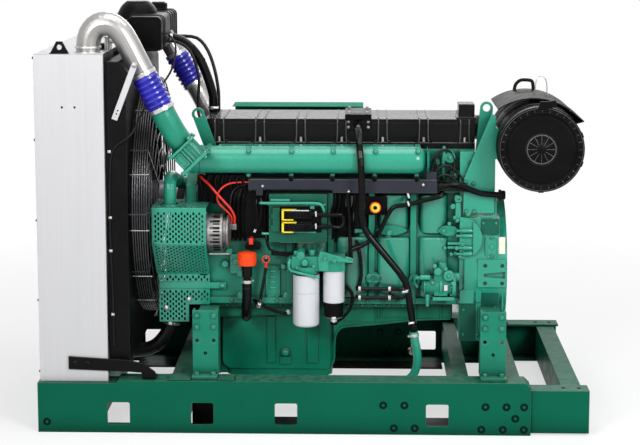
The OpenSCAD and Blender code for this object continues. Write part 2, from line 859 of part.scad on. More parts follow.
module expansion_tank() {
    mid = [(tank_x[0] + tank_x[1]) / 2, (tank_z[0] + tank_z[1]) / 2];
    color(black) from_front() {
        side_plate(tank_y) translate(mid)
            round_rect([tank_x[1] - tank_x[0], tank_z[1] - tank_z[0]], tank_r);
        translate([dome_at[0], dome_at[1], tank_z[1] - tank_r]) difference() {
            sphere(dome_r);
            translate([0, 0, -dome_r]) cube([3 * dome_r, 3 * dome_r, 2 * dome_r], center = true);
            translate([0, 0, dome_r + dome_h + tank_r])
                cube([3 * dome_r, 3 * dome_r, 2 * dome_r], center = true);
        }
        for (y = [tank_y[0] + 60, tank_y[1] - 90])
            box([tank_x[0] + 4, tank_x[0] + 34], [y, y + 30], [shroud_z + shroud_h + seat, tank_z[0] + 2]);
    }
}

thick_hose = [[tank_x[1] + seat, 60, 1474], [470, 60, 1474], [522, 60, 1450], [572, 62, 1390],
    [606, 64, 1310],
    [626, 66, 1240], [628, 66, cover_z + 50], [628, 66, cover_z + seat]];

module tank_hoses() {
    color(black) from_front() {
        hose(thick_hose, 19, 12, 3);
    }
}

tank_side = tank_x[1] + seat;
cover_x = [617, 1691];
overflow_y = -shroud_w / 2 - seat - 4;
vent_hose = [[tank_side, 100, 1478], [490, 100, 1478], [560, 100, 1470], [604, 98, 1420], [632, 98, 1340],
    [646, 98, 1260], [648, 98, cover_z + 50], [648, 98, cover_z + seat]];
bleed_hose = [[tank_side, 16, 1462], [480, 16, 1462], [524, 16, 1440], [552, 16, 1400], [574, 16, 1320],
    [572, 16, 1240], [570, 16, 1180], [582, 16, 1140], [602, 16, 1130], [cover_x[0] - seat, 16, 1130]];
overflow_hose = [[tank_side, -180, 1508], [472, -180, 1508], [500, -200, 1480], [508, -216, 1440],
    [494, -230, 1374],
    [462, -256, 1320], [420, -330, 1268], [392, -430, 1205], [380, -474, 1172], [368, -506, 1150],
        [345, -514, 1130],
    [310, overflow_y - 2, 1105], [290, overflow_y, 1060], [284, overflow_y, 960], [282, overflow_y, 830],
    [284, overflow_y, 700], [288, overflow_y, 560], [290, overflow_y, 440], [290, overflow_y, 330]];

module thin_hoses() {
    color(black) from_front() {
        hose(vent_hose, 7, 8, 3);
        hose(bleed_hose, 6, 8, 3);
        hose(overflow_hose, 4, 8, 3);
    }
}

// ---- Belt guard ----
guard_box_x = [428, 639];
guard_box_y = [-400, -212];
guard_box_z = [crank_z + 138, crank_z + 280];
guard_sheet = 3;
guard_slope_y = -block_y - block_rib_out - seat;
guard_slope_z = crank_z - 7;
guard_low_z = crank_z - 202;
guard_low_x = [437, 555];
guard_step_z = crank_z - 131;
guard_strap_z = [crank_z - 65, crank_z - 41];
guard_strap_end = 703;
guard_strap_bolt = 689;
guard_strap_t = 4;
guard_back_x = 540;
guard_tab_x = [600, 630];
guard_pipe_r = 34;

// Folded sheet over the belt: top, near face, sloping underside and a lower leaf
module belt_guard() {
    y = guard_box_y;
    z = guard_box_z;
    t = guard_sheet;
    low = guard_slope_y - t;
    color(green) from_front() difference() {
        union() {
            end_plate(guard_box_x) polygon([[low, z[1]], [y[0], z[1]], [y[0], z[0]],
                [guard_slope_y, guard_slope_z], [low, guard_slope_z - t],
                [y[0] - t, z[0] - t], [y[0] - t, z[1] + t], [low, z[1] + t]]);
            box([guard_box_x[0], guard_back_x], [low - t, y[1]], [z[1], z[1] + t]);
            side_plate([low, guard_slope_y]) polygon([[guard_low_x[0], guard_slope_z],
                [guard_low_x[0], guard_low_z], [guard_low_x[1], guard_low_z],
                    [guard_low_x[1], guard_step_z],
                [guard_box_x[1], guard_step_z], [guard_box_x[1], guard_slope_z]]);
            box([guard_low_x[0], guard_strap_end], [low - guard_strap_t, low + cut], guard_strap_z);
            rod_y(guard_strap_bolt, [low, -block_y - seat], crank_z - 53, 10);
            box(guard_tab_x, [low, -block_y - seat], [guard_slope_z - 2 * t, guard_slope_z]);
        }
        rod_z(coolant_drop[0], coolant_drop[1], [z[1] - cut, z[1] + t + cut], guard_pipe_r);
    }
}

// ---- Alternator ----
alternator_x = [548, 700];
alternator_foot = [600, 680];
alternator_cap = [58, 22];
vent_x = [652, 690];
vent = [9, 8];
vents = 16;
terminal_x = [722, 750];
terminal_y = [-314, -290];
terminal_z = [alternator_z + 7, alternator_z + 29];

module alternator() {
    color(silver) from_front() {
        difference() {
            rod_x(alternator_x, alternator_y, alternator_z, alternator_r);
            for (i = [0 : vents - 1]) translate([0, alternator_y, alternator_z])
                rotate([i * 360 / vents, 0, 0])
                box(vent_x, [-vent[0] / 2, vent[0] / 2], [alternator_r - vent[1], alternator_r + cut]);
        }
        rod_x([alternator_x[1] - cut, alternator_x[1] + alternator_cap[1] + cut], alternator_y,
            alternator_z,
            alternator_cap[0]);
        box(terminal_x, terminal_y, terminal_z);
        rod_x([belt_x[0], alternator_x[0]], alternator_y, alternator_z, alternator_pulley_r - seat);
        box(alternator_foot, [alternator_y, -block_y - seat], [alternator_z - 66, alternator_z - 40]);
    }
}

// ---- Coolant ----
coolant_drop = [492, -330];
coolant_elbow = raised([[block_at - front_cover_d - seat, -150, 908], [514, -150, 908],
    [496, -200, 934], [492, -268, 950],
    [492, -318, 936], [492, -330, 896], [492, -330, 850], [492, -330, 822]]);

module coolant_pipe() {
    color(green) from_front() hose(coolant_elbow, 25, 16, 3);
}

lower_hose = [[block_at - front_cover_d - seat, -160, crank_z - 47], [520, -160, crank_z - 47],
    [494, -170, crank_z - 97], [484, -180, 390],
    [462, -190, 310], [410, -200, 248], [340, -200, 229], [290, -200, 228],
        [core_x[1] + core_in + seat, -200, 228]];

module radiator_hoses() {
    color(black) from_front() {
        hose(lower_hose, 28, 14, 3);
    }
}

// ---- Electrics ----
unit_x = [878, 1106];
unit_z = [crank_z + 132, crank_z + 323];
unit_y = [-312, -block_y - block_rib_out - seat];
unit_block_x = [893, 921];
unit_block_z = [crank_z + 177, crank_z + 271];
unit_block_out = 12;
unit_steps = 4;

module control_unit() {
    step = (unit_block_z[1] - unit_block_z[0]) / unit_steps;
    color(green) from_front() {
        box(unit_x, unit_y, unit_z);
        box(unit_block_x, [unit_y[0] - unit_block_out, unit_y[0] + cut], unit_block_z);
        for (i = [0 : 2 : unit_steps - 1])
            box([unit_block_x[0] - unit_block_out / 2, unit_block_x[1]],
                [unit_y[0] - unit_block_out, unit_y[0] + cut],
                [unit_block_z[0] + i * step + 4, unit_block_z[0] + (i + 1) * step]);
    }
}

duct_x = [796, 1536];
duct_y = [-290, -block_y - seat];
duct_z = [crank_z + 325, crank_z + 378];
duct_riser = 40;

module cable_duct() {
    color(black) from_front() {
        box(duct_x, duct_y, [duct_z[1] - duct_riser, duct_z[1]]);
        box([unit_x[1] + duct_riser / 2, duct_x[1]], duct_y, [duct_z[0], duct_z[1] - duct_riser / 2]);
    }
}

feed_cable = raised([[duct_x[0] - seat, -270, 930], [768, -270, 930], [722, -278, 926],
    [690, -290, 908], [674, -298, 880],
    [682, -303, 850], [710, -308, 823], [728, -306, 802], [731, -303, 786], [730, -302, 770 + seat]]);
start_cable = raised([[600, -block_upper_y - seat, 952], [600, -250, 952], [612, -276, 946],
    [640, -292, 925],
    [666, -310, 900], [696, -318, 868], [728, -314, 831], [742, -306, 800], [742, -302, 784],
    [742, -302, 770 + seat]]);

module power_cables() {
    color(orange) from_front() {
        hose(feed_cable, 4, 8, 3);
        hose(start_cable, 5, 8, 3);
    }
}

loom = raised([[duct_x[1] + seat, -272, 920], [1560, -272, 920], [1620, -290, 926], [1700, -298, 896],
    [1784, -298, 888]]);

module harness() {
    color(black) from_front() hose(loom, 12, 10, 3);
}

// ---- Filters ----
oil_filter_at = [1024, -330];
oil_filter_z = [crank_z - 196, crank_z + 13];
fuel_filter_at = [1133, -325];
fuel_filter_z = [crank_z - 100, crank_z + 26];
bowl_z = [crank_z - 162, fuel_filter_z[0]];

module filter_heads() {
    color(green) from_front() {
        box([970, 1176], [-360, -block_y - block_rib_out - seat], [fuel_filter_z[1] + seat, crank_z + 83]);
        rod_z(oil_filter_at[0], oil_filter_at[1], [oil_filter_z[1] + seat, crank_z + 43], 50);
        rod_z(fuel_filter_at[0], fuel_filter_at[1], [fuel_filter_z[1] + seat, crank_z + 65], 46);
    }
}

module oil_filter() {
    color(white) from_front() translate([oil_filter_at[0], oil_filter_at[1], oil_filter_z[0]])
        rotate_extrude() intersection() {
            offset(12) offset(-12) translate([-oil_filter_r, 0])
                square([2 * oil_filter_r, oil_filter_z[1] - oil_filter_z[0]]);
            square([oil_filter_r, oil_filter_z[1] - oil_filter_z[0]]);
        }
}

module fuel_filter() {
    at = fuel_filter_at;
    color(white) from_front() {
        rod_z(at[0], at[1], [bowl_z[1], fuel_filter_z[1]], fuel_filter_r);
        rod_z(at[0], at[1], bowl_z, fuel_filter_r - 6);
        rod_z(at[0], at[1], [bowl_z[0] - 24, bowl_z[0]], 12);
    }
}

filler_at = [792, -330];
filler_cap_z = [crank_z + 45, crank_z + 91];
filler_route = [[792, -330, filler_cap_z[0] - seat], [792, -330, crank_z - 7], [790, -328, crank_z - 87],
    [786, -306, crank_z - 157], [784, -250, crank_z - 179], [784, -sump_y - seat, crank_z - 179]];

module oil_filler() {
    color(orange) from_front() rod_z(filler_at[0], filler_at[1], filler_cap_z, 36);
}

module filler_tube() {
    color(black) from_front() hose(filler_route, 14, 12, 3);
}

dipstick_route = raised([[865, -300, 640], [864, -300, 590], [848, -298, 500], [839, -286, 448],
    [836, -266, 431],
    [834, -sump_flange_y - seat, 431]]);

module dipstick() {
    color(orange) from_front() hose(dipstick_route, 5, 8, 3);
}

// ---- Breather ----
breather_route = raised([[1226, -cover_y - seat, 1148], [1226, -196, 1148], [1228, -270, 1128],
    [1232, -330, 1086],
    [1238, -352, 1010], [1242, -358, 900], [1247, -362, 777], [1330, -364, 664], [1412, -366, 556],
    [1432, -364, 450], [1448, -350, 350], [1450, -320, 290], [1446, -270, 250], [1440, -205, 236]]);

module breather_pipe() {
    color(black) from_front() hose(breather_route, breather_r, 12, 3);
}

module breather_bracket() {
    color(black) from_front() {
        box([1174, 1279], [-cover_y - 30, cover_y - 110], [cover_z + seat, cover_z + 22]);
        box([1637, 1690], [88, 146], [cover_z + seat, cover_z + 35]);
    }
}

// ---- Fuel ----
pump_x = [1492, 1612];
pump_y = -304;
pump_z = crank_z - 40;
pump_r = 38;
pump_body = 34;

module fuel_pump() {
    color(black) from_front() {
        rod_x(pump_x, pump_y, pump_z, pump_r);
        box([pump_x[0] + pump_body, pump_x[1] - pump_body], [pump_y - pump_body, -block_y - seat],
            [pump_z - pump_body, pump_z + 2 * pump_body]);
    }
}

fuel_pipe_z = [crank_z - 56, crank_z - 91];
fuel_pipe_r = 8;
fuel_pipe_end = -block_y - seat;

module fuel_pipes() {
    color(black) from_front() for (z = fuel_pipe_z)
        hose([[1226, fuel_pipe_end, z], [1226, -280, z], [1248, -298, z], [1320, -300, z], [1392, -298, z],
            [1414, -280, z], [1414, fuel_pipe_end, z]], fuel_pipe_r, 8, 3);
}

// ---- Flywheel housing ----
housing_front = block_end + seat;
gear_case_d = 64;
pilot_d = 11.7;
cavity_d = 62;
cavity_r = 254;
housing_box_z = [mount_arm_z[1] - arm_root_h - 10, crank_z + 223];
gear_boss_at = [1632, crank_z + 143];
gear_boss_r = [84, 48];
gear_boss_out = [9, 18];
inspection_x = [1729, 1782];
inspection_z = [crank_z + 62, crank_z + 153];
pad_x = [1700, 1811];
pad_z = [crank_z - 53, crank_z + 59];
pad_hole_x = [1729, 1796];
pad_hole_z = [crank_z - 37, crank_z + 34];
pad_out = 16;
pad_hole_r = 8;
starter_pad = [30, 120, 110];
starter_at = [318, crank_z - 87];

// Half a disc that bulges away from the block
module gear_boss() {
    intersection() {
        translate(gear_boss_at) circle(gear_boss_r[0], $fn = 64);
        translate([housing_front, 0]) square(3 * crank_z);
    }
}

module flywheel_housing() {
    color(green) from_front() difference() {
        union() {
            rod_x([housing_front + 20, housing_face], 0, crank_z, housing_r);
            box([housing_front, housing_front + gear_case_d], [-block_y, block_y],
                [joint_z, head_z - seat]);
            box([housing_front, housing_face - 30], [-housing_side_y, housing_side_y], housing_box_z);
            box([housing_front, housing_front + starter_pad[0]],
                [housing_side_y - cut, starter_at[0] + starter_pad[1] / 2],
                [starter_at[1] - starter_pad[2] / 2, starter_at[1] + starter_pad[2] / 2]);
            side_plate([-housing_side_y - gear_boss_out[0], -housing_side_y + cut]) gear_boss();
            side_plate([-housing_side_y - gear_boss_out[1], -housing_side_y + cut]) difference() {
                gear_boss();
                translate([gear_boss_at[0], 0]) square([2 * gear_boss_r[1], 3 * crank_z], center = true);
            }
            box(inspection_x, [-housing_side_y - 5, -housing_side_y + cut], inspection_z);
            box(pad_x, [-housing_side_y - pad_out, -housing_side_y + cut], pad_z);
        }
        for (x = pad_hole_x, z = pad_hole_z)
            rod_y(x, [-housing_side_y - pad_out - cut, -housing_side_y - 2], z, pad_hole_r);
        side_plate([-housing_side_y - pad_out - cut, -housing_side_y - 2]) polygon([
            [pad_x[0] + 24, crank_z - 11], [pad_x[1] - 4, crank_z - 18],
            [pad_x[1] - 4, crank_z + 10], [pad_x[0] + 24, crank_z + 1]]);
        rod_x([housing_face - pilot_d, housing_face + cut], 0, crank_z, pilot_r);
        rod_x([housing_face - cavity_d, housing_face], 0, crank_z, cavity_r);
        for (i = [0 : housing_holes - 1]) rotate_about_crank(15 + i * 360 / housing_holes)
            rod_x([housing_face - 30, housing_face + cut], housing_pcd / 2, 0, housing_hole_r);
    }
}

starter_x = [1430, 1606];
starter_r = 47;
starter_nose_r = 38;
solenoid_r = 24;
solenoid_x = [1500, 1600];

module starter_motor() {
    color(black) from_front() {
        rod_x(starter_x, starter_at[0], starter_at[1], starter_r);
        rod_x([starter_x[1] - cut, housing_front - seat], starter_at[0], starter_at[1], starter_nose_r);
        rod_x(solenoid_x, starter_at[0] + 12, starter_at[1] + starter_r + solenoid_r - 6, solenoid_r);
    }
}

// Turns children about the crankshaft's centreline
module rotate_about_crank(a) {
    translate([0, 0, crank_z]) rotate([a, 0, 0]) children();
}

flywheel_x = [housing_face - cavity_d + seat, housing_face - 12];

module flywheel() {
    color(black) from_front() difference() {
        rod_x(flywheel_x, 0, crank_z, flywheel_r);
        rod_x([flywheel_x[1] - 25, flywheel_x[1] + cut], 0, crank_z, coupling_r);
        for (i = [0 : coupling_holes - 1]) rotate_about_crank(i * 360 / coupling_holes)
            rod_x([flywheel_x[0] + 6, flywheel_x[1]], coupling_pcd / 2, 0, coupling_hole_r);
    }
}

// ---- Head and cover ----
module cylinder_head() {
    color(green) from_front() box([block_at + 30, block_end], [-head_y, head_y], [deck_z + seat, head_z]);
}

cover_flange = 14;
cover_ribs_at = 672;
cover_rib = [8, 10];
cover_rib_gap = 34;

module valve_cover() {
    color(black) from_front() {
        box(cover_x, [-cover_y, cover_y], [head_z + seat, cover_z]);
        box([cover_x[0] - 8, cover_x[1]], [-cover_y - cover_flange, cover_y + cover_flange],
            [head_z + seat, head_z + 24]);
        both_sides() for (i = [0 : 6], s = [-1, 1])
            translate([cover_ribs_at + i * cylinder_pitch + s * cover_rib_gap / 2, 0, 0])
                box([-cover_rib[0] / 2, cover_rib[0] / 2], [-cover_y - cover_rib[1], -cover_y + cut],
                    [head_z + 24, cover_z - 16]);
    }
}

// ---- Air filter ----
bracket_y = 266;
bracket_t = 8;
filter_body_r = filter_r - 4;

module filter_bracket() {
    color(green) from_front() difference() {
        union() {
            side_plate([-bracket_y - bracket_t, -bracket_y])
                polygon([[1640, 813], [1762, 811], [1764, 1193], [1748, 1206],
                [1643, 950]]);
            box([1764 - bracket_t, 1764], [-bracket_y - cut, -204], [900, 1193]);
            box([1764 - bracket_t, 1779], [-bracket_y - bracket_t, -204], [1026, 1148]);
            box([1640, 1690], [-bracket_y - cut, -block_y - seat], [813, 890]);
        }
        rod_y(filter_at, [-500, 500], filter_z, filter_body_r + seat);
    }
}

filter_y = [-430, -430 + filter_l];
rim_r = filter_r - 26;

module air_filter() {
    color(black) from_front() difference() {
        union() {
            rod_y(filter_at, [filter_y[0] + 8, filter_y[1]], filter_z, filter_body_r);
            rod_y(filter_at, [filter_y[0], filter_y[0] + 60], filter_z, filter_r);
        }
        rod_y(filter_at, [filter_y[0] - cut, filter_y[0] + 8], filter_z, rim_r);
    }
}

hood_y = [-300, 50];
hood_r = 243;
hood_t = 4;
hood_centre = [filter_at - 19, filter_z - 60];
hood_from = 46;
hood_sweep = 79;
hood_end = [2104, 1180];
hood_lip = [-30, -7];
hood_post_x = [filter_at - 14, filter_at + 14];
hood_post_y = [-250, -60];
handle_route = [[1860, 20, hood_centre[1] + 238], [1866, 20, 1290], [1884, 20, 1306], [1908, 20, 1308],
    [1930, 20, 1304], [1936, 20, 1288], [1937, 20, hood_centre[1] + 240]];
handle_r = 7;

function on_hood(a, r) = [hood_centre[0] + r * cos(a), hood_centre[1] + r * sin(a)];

module rain_hood() {
    start = on_hood(hood_from, hood_r);
    inner = on_hood(hood_from, hood_r - hood_t);
    n = unit(hood_end - start);
    side = [n[1], -n[0]];
    lip = hood_end + hood_lip;
    color(black) from_front() {
        side_plate(hood_y) union() {
            difference() {
                translate(hood_centre) circle(hood_r, $fn = 160);
                translate(hood_centre) circle(hood_r - hood_t, $fn = 160);
                translate(hood_centre) polygon([[0, 0],
                    on_hood(hood_from + hood_sweep, 2 * hood_r) - hood_centre,
                    [-2 * hood_r, 0], [-2 * hood_r, -2 * hood_r], [2 * hood_r, -2 * hood_r],
                    [2 * hood_r, 0], on_hood(hood_from, 2 * hood_r) - hood_centre]);
            }
            polygon([start, hood_end, hood_end + hood_t * side, inner]);
            polygon([hood_end, hood_end + hood_t * side, lip + [0, -hood_t], lip]);
        }
        for (y = hood_post_y)
            box(hood_post_x, [y, y + 20], [filter_z + filter_body_r + seat, hood_centre[1] + hood_r - 3]);
        hose(handle_route, handle_r, 10, 3);
    }
}

// ---- Exhaust side ----
exhaust_z = crank_z + 390;
exhaust_y = 250;
exhaust_r = 38;
exhaust_x = [650, 1560];
compressor_r = 90;
turbine_r = 86;
turbo_x = [turbo_at, turbo_at + 66, turbo_at + 134, turbo_at + 208];
bearing_r = 45;
boost_bend = 60;
exhaust_bend = 70;
exhaust_end = 520;
exhaust_flange = [62, 12];
exhaust_wall = 6;
elbow_lap = 4;
port_w = 60;

// Quarter turn of pipe in the level plane
module quarter_pipe(bend, r) {
    rotate_extrude(angle = 90) translate([bend, 0]) circle(r);
}

module exhaust_manifold() {
    color("saddlebrown") from_front() {
        rod_x(exhaust_x, exhaust_y, exhaust_z, exhaust_r);
        for (i = [0 : 5]) translate([cover_ribs_at + 40 + i * cylinder_pitch - port_w / 2, 0, 0])
            box([0, port_w], [head_y + seat, exhaust_y],
                [exhaust_z - exhaust_r + 4, exhaust_z + exhaust_r - 4]);
    }
}

module turbocharger() {
    color("silver") from_front() {
        rod_x([turbo_x[0], turbo_x[1]], turbo_y, turbo_z, turbine_r);
        rod_x([turbo_x[1] - cut, turbo_x[2] + cut], turbo_y, turbo_z, bearing_r);
        rod_x([turbo_x[2], turbo_x[3]], turbo_y, turbo_z, compressor_r);
        box([turbo_x[0], turbo_x[1]], [exhaust_y + exhaust_r + seat, turbo_y],
            [exhaust_z - 12, exhaust_z + 48]);
        translate([boost_at[0], boost_at[1] + boost_bend, boost_at[2]]) rotate([0, 0, -90])
            quarter_pipe(boost_bend, charge_r - 6);
        rod_y(boost_at[0] + boost_bend, [boost_at[1] + boost_bend - elbow_lap, turbo_y - elbow_lap],
            boost_at[2],
            charge_r - 5);
        difference() {
            union() {
                translate([turbo_at + cut, turbo_y + exhaust_bend, turbo_z]) rotate([0, 0, 180])
                    quarter_pipe(exhaust_bend, bearing_r);
                rod_y(turbo_at + cut - exhaust_bend, [turbo_y + exhaust_bend - elbow_lap, exhaust_end],
                    turbo_z,
                    bearing_r + 1);
                rod_y(turbo_at + cut - exhaust_bend, [exhaust_end - exhaust_flange[1], exhaust_end],
                    turbo_z,
                    exhaust_flange[0]);
            }
            rod_y(turbo_at + cut - exhaust_bend, [turbo_y + exhaust_bend + elbow_lap,
                exhaust_end + cut], turbo_z,
                bearing_r - exhaust_wall);
        }
    }
}

shield_x = [686, 1247];
shield_y = [340, 484];
shield_z = [crank_z + 333, crank_z + 593];
shield_t = 3;
shield_stay_x = [720, 750];

module heat_shield() {
    color(green) from_front() {
        difference() {
            box(shield_x, [shield_y[1], shield_y[1] + shield_t], shield_z);
            rod_y(turbo_at + cut - exhaust_bend, [shield_y[1] - cut, shield_y[1] + shield_t + cut],
                turbo_z,
                bearing_r + 7);
        }
        box(shield_x, [shield_y[0], shield_y[1] + shield_t], [shield_z[1] - shield_t, shield_z[1]]);
        box(shield_stay_x, [exhaust_y + exhaust_r + seat, shield_y[1] + 1],
            [exhaust_z - 5, exhaust_z + 5]);
        box([turbo_x[2] + 20, turbo_x[3] - 20], [turbo_y + compressor_r + seat, shield_y[1] + 1],
            [turbo_z - 5, turbo_z + 5]);
    }
}

intake_r = 52;

module intake_duct() {
    color(black) from_front() hose([[filter_at, filter_y[1] + seat, filter_z],
        [filter_at, filter_y[1] + 40, filter_z],
        [1900, 190, 1086], [1800, 290, 1080], [1600, 370, 1060], [1400, turbo_y, 1024],
            [1260, turbo_y, turbo_z],
        [turbo_x[3] + seat, turbo_y, turbo_z]], intake_r, 16, 3);
}

// Lifting eyes on the radiator and at both ends of the engine
engine_eye_t = 12;
engine_eye_r = 25;
engine_eye_hole_r = 15;
front_eye = [592, head_z + 140];
front_eye_x = [block_at + 32, 668];
front_eye_z = head_z - 90;
rear_eye = [1733, head_z + 167];
rear_eye_x = [block_end + 2 * seat + 64, 1750];
rear_eye_z = head_z - 90;
rear_eye_y = 180;

// Flat eye at the top of a foot that is given by its two low corners
module engine_eye(eye, foot, y) {
    side_plate([y - engine_eye_t, y]) difference() {
        union() {
            translate(eye) circle(engine_eye_r);
            polygon([foot[0], foot[1], [foot[1][0], foot[1][1] + 90], [eye[0] + engine_eye_r, eye[1]],
                [eye[0] - engine_eye_r, eye[1]], [foot[0][0], foot[0][1] + 90]]);
        }
        translate(eye) circle(engine_eye_hole_r);
    }
}

module lifting_eyes() {
    color(black) from_front() both_sides() lifting_eye_plate(-radiator_y + 20);
}

module engine_eyes() {
    color(green) from_front() {
        engine_eye(front_eye, [[front_eye_x[0], front_eye_z], [front_eye_x[1], front_eye_z]],
            -head_y - seat);
        engine_eye(rear_eye, [[rear_eye_x[0], rear_eye_z], [rear_eye_x[1], rear_eye_z]], -rear_eye_y);
    }
}

rail_near();
rail_far();
rail_extensions();
crossmembers();
mount_brackets();
mount_arms();
oil_sump();
cylinder_block();
front_cover();
damper();
belt();
cylinder_head();
valve_cover();
flywheel_housing();
flywheel();
inlet_manifold();
inlet_elbow();
charge_hoses();
charge_pipe_near();
charge_pipe_far();
radiator_core();
radiator_panels();
radiator_stays();
fan_shroud();
fan();
fan_drive();
fan_guard();
expansion_tank();
tank_hoses();
belt_guard();
alternator();
coolant_pipe();
radiator_hoses();
control_unit();
cable_duct();
harness();
filter_heads();
oil_filter();
fuel_filter();
oil_filler();
filler_tube();
dipstick();
breather_pipe();
breather_bracket();
fuel_pump();
fuel_pipes();
filter_bracket();
air_filter();
rain_hood();
exhaust_manifold();
turbocharger();
heat_shield();
intake_duct();
lifting_eyes();
engine_eyes();
thin_hoses();
power_cables();
starter_motor();
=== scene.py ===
import bpy
import bmesh
import math
from mathutils import Matrix, Vector


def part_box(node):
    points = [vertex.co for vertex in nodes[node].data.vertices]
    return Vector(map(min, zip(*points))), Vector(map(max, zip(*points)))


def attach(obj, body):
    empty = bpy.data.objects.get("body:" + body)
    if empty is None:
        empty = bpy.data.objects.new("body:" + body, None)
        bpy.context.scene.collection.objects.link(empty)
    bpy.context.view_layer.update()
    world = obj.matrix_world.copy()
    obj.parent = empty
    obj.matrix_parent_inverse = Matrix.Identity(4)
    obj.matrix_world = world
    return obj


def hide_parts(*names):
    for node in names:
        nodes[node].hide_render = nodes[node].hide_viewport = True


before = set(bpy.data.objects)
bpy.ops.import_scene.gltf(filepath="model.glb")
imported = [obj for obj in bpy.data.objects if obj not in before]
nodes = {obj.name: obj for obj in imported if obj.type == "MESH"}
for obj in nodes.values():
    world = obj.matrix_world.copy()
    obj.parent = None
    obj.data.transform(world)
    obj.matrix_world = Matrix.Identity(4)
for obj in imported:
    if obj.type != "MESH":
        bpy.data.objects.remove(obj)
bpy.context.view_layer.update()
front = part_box("rail_near")[0].x  # the skid's front end, from which stations are counted
print("frame loaded", len(nodes), "nodes")


def place(x, y, z):  # millimetres from the front end, the middle and the floor
    return Vector((front + x / 1000, y / 1000, z / 1000))


def connect(tree, value, socket):  # another socket is linked, a plain value is set
    if isinstance(value, bpy.types.NodeSocket):
        tree.links.new(value, socket)
    else:
        socket.default_value = value


def addNode(tree, kind, group=None, **inputs):
    node = tree.nodes.new("ShaderNode" + kind)
    if group:
        node.node_tree = group
    for label, value in inputs.items():
        connect(tree, value, node.inputs[label])
    return node


def mathNode(tree, operation, *values, kind="Math", clamp=False):
    node = addNode(tree, kind)
    node.operation = operation
    if clamp:
        node.use_clamp = True
    for socket, value in zip(node.inputs, values):
        connect(tree, value, socket)
    return node.outputs["Value"]


def ramp(tree, value, low, high, toLow=0.0, toHigh=1.0):
    limits = {"Value": value, "From Min": low, "From Max": high, "To Min": toLow, "To Max": toHigh}
    return addNode(tree, "MapRange", **limits).outputs["Result"]


def mixColour(tree, factor, first, second, blend="MIX"):
    node = addNode(tree, "Mix")
    node.data_type, node.blend_type = "RGBA", blend
    for index, value in ((0, factor), (6, first), (7, second)):
        connect(tree, value, node.inputs[index])
    return node.outputs[2]


def objectCoords(tree):
    return addNode(tree, "TexCoord").outputs["Object"]


def noise(tree, coords, **inputs):
    return addNode(tree, "TexNoise", Vector=coords, **inputs).outputs["Fac"]


def nodeGroup(name, inputs, outputs):
    tree = bpy.data.node_groups.new(name, "ShaderNodeTree")
    kinds = {"Colour": "NodeSocketColor", "Rounded": "NodeSocketVector"}
    for way, labels in (("INPUT", inputs), ("OUTPUT", outputs)):
        for label in labels:
            tree.interface.new_socket(name=label, in_out=way, socket_type=kinds.get(label, "NodeSocketFloat"))
    return tree, tree.nodes.new("NodeGroupInput").outputs, tree.nodes.new("NodeGroupOutput").inputs


def buildDrift():  # slow changes of shade, paler edges as a painted highlight, dust on upward faces, painted shade darkening the hollows
    edgeHighlightColour, dustColour, paintedShadeColour = (0.75, 0.78, 0.76, 1), (0.62, 0.62, 0.58, 1), (0.10, 0.11, 0.105, 1)
    tree, source, sink = nodeGroup("paintDrift", ("Colour", "Scale", "Amount", "Edge", "Dust", "Grime"),
                                   ("Colour", "Mask", "Rounded"))
    coords = objectCoords(tree)
    slow = noise(tree, coords, Detail=4, Scale=source["Scale"])
    swing = mathNode(tree, "MULTIPLY", ramp(tree, slow, 0.3, 0.7, -1, 1), source["Amount"])
    shade = addNode(tree, "HueSaturation", Color=source["Colour"], Value=mathNode(tree, "ADD", swing, 1.0))
    bevel = addNode(tree, "Bevel", Radius=0.0035)
    normal = addNode(tree, "NewGeometry").outputs["Normal"]
    hollow = addNode(tree, "AmbientOcclusion", Distance=0.09)
    bevel.samples = hollow.samples = 4
    rounded = bevel.outputs["Normal"]
    edge = ramp(tree, mathNode(tree, "DOT_PRODUCT", rounded, normal, kind="VectorMath"), 0.97, 0.75)
    # paler colour on the rounded edges: painted highlight
    edgeHighlight = mathNode(tree, "MULTIPLY", mathNode(tree, "MULTIPLY", edge, source["Edge"]), ramp(tree, slow, 0.35, 0.6))
    upward = ramp(tree, addNode(tree, "SeparateXYZ", Vector=normal).outputs["Z"], 0.6, 1.0)
    grit = ramp(tree, noise(tree, coords, Scale=40), 0.3, 0.7)
    settled = mathNode(tree, "MULTIPLY", mathNode(tree, "MULTIPLY", upward, source["Dust"]), grit)
    # ambient occlusion darkens the hollows: painted shade
    paintedShade = mathNode(tree, "MULTIPLY", ramp(tree, hollow.outputs["AO"], 0.85, 0.3), source["Grime"])
    dusty = mixColour(tree, settled, mixColour(tree, edgeHighlight, shade.outputs["Color"], edgeHighlightColour), dustColour)
    connect(tree, mixColour(tree, paintedShade, dusty, paintedShadeColour, "MULTIPLY"), sink["Colour"])
    connect(tree, mathNode(tree, "MAXIMUM", edge, settled), sink["Mask"])
    connect(tree, rounded, sink["Rounded"])
    return tree


def buildSkin():  # fine orange peel or cast grain as a height, with a slower swell below it
    tree, source, sink = nodeGroup("surfaceSkin", ("Scale", "Swell"), ("Height",))
    coords = objectCoords(tree)
    fine = noise(tree, coords, Detail=3, Scale=source["Scale"])
    swell = mathNode(tree, "MULTIPLY", noise(tree, coords, Scale=source["Swell"]), 2.0)
    connect(tree, mathNode(tree, "ADD", fine, swell), sink["Height"])
    return tree


def buildBrush():  # streaks of a rolled or brushed sheet, along Z
    stretch = {"X": 220.0, "Y": 220.0, "Z": 1.5}
    tree, source, sink = nodeGroup("brushedSheet", (), ("Streak",))
    split = addNode(tree, "SeparateXYZ", Vector=objectCoords(tree)).outputs
    longer = {axis: mathNode(tree, "MULTIPLY", split[axis], times) for axis, times in stretch.items()}
    drawn = addNode(tree, "CombineXYZ", **longer).outputs[0]
    connect(tree, noise(tree, drawn, Scale=1, Detail=3), sink["Streak"])
    return tree


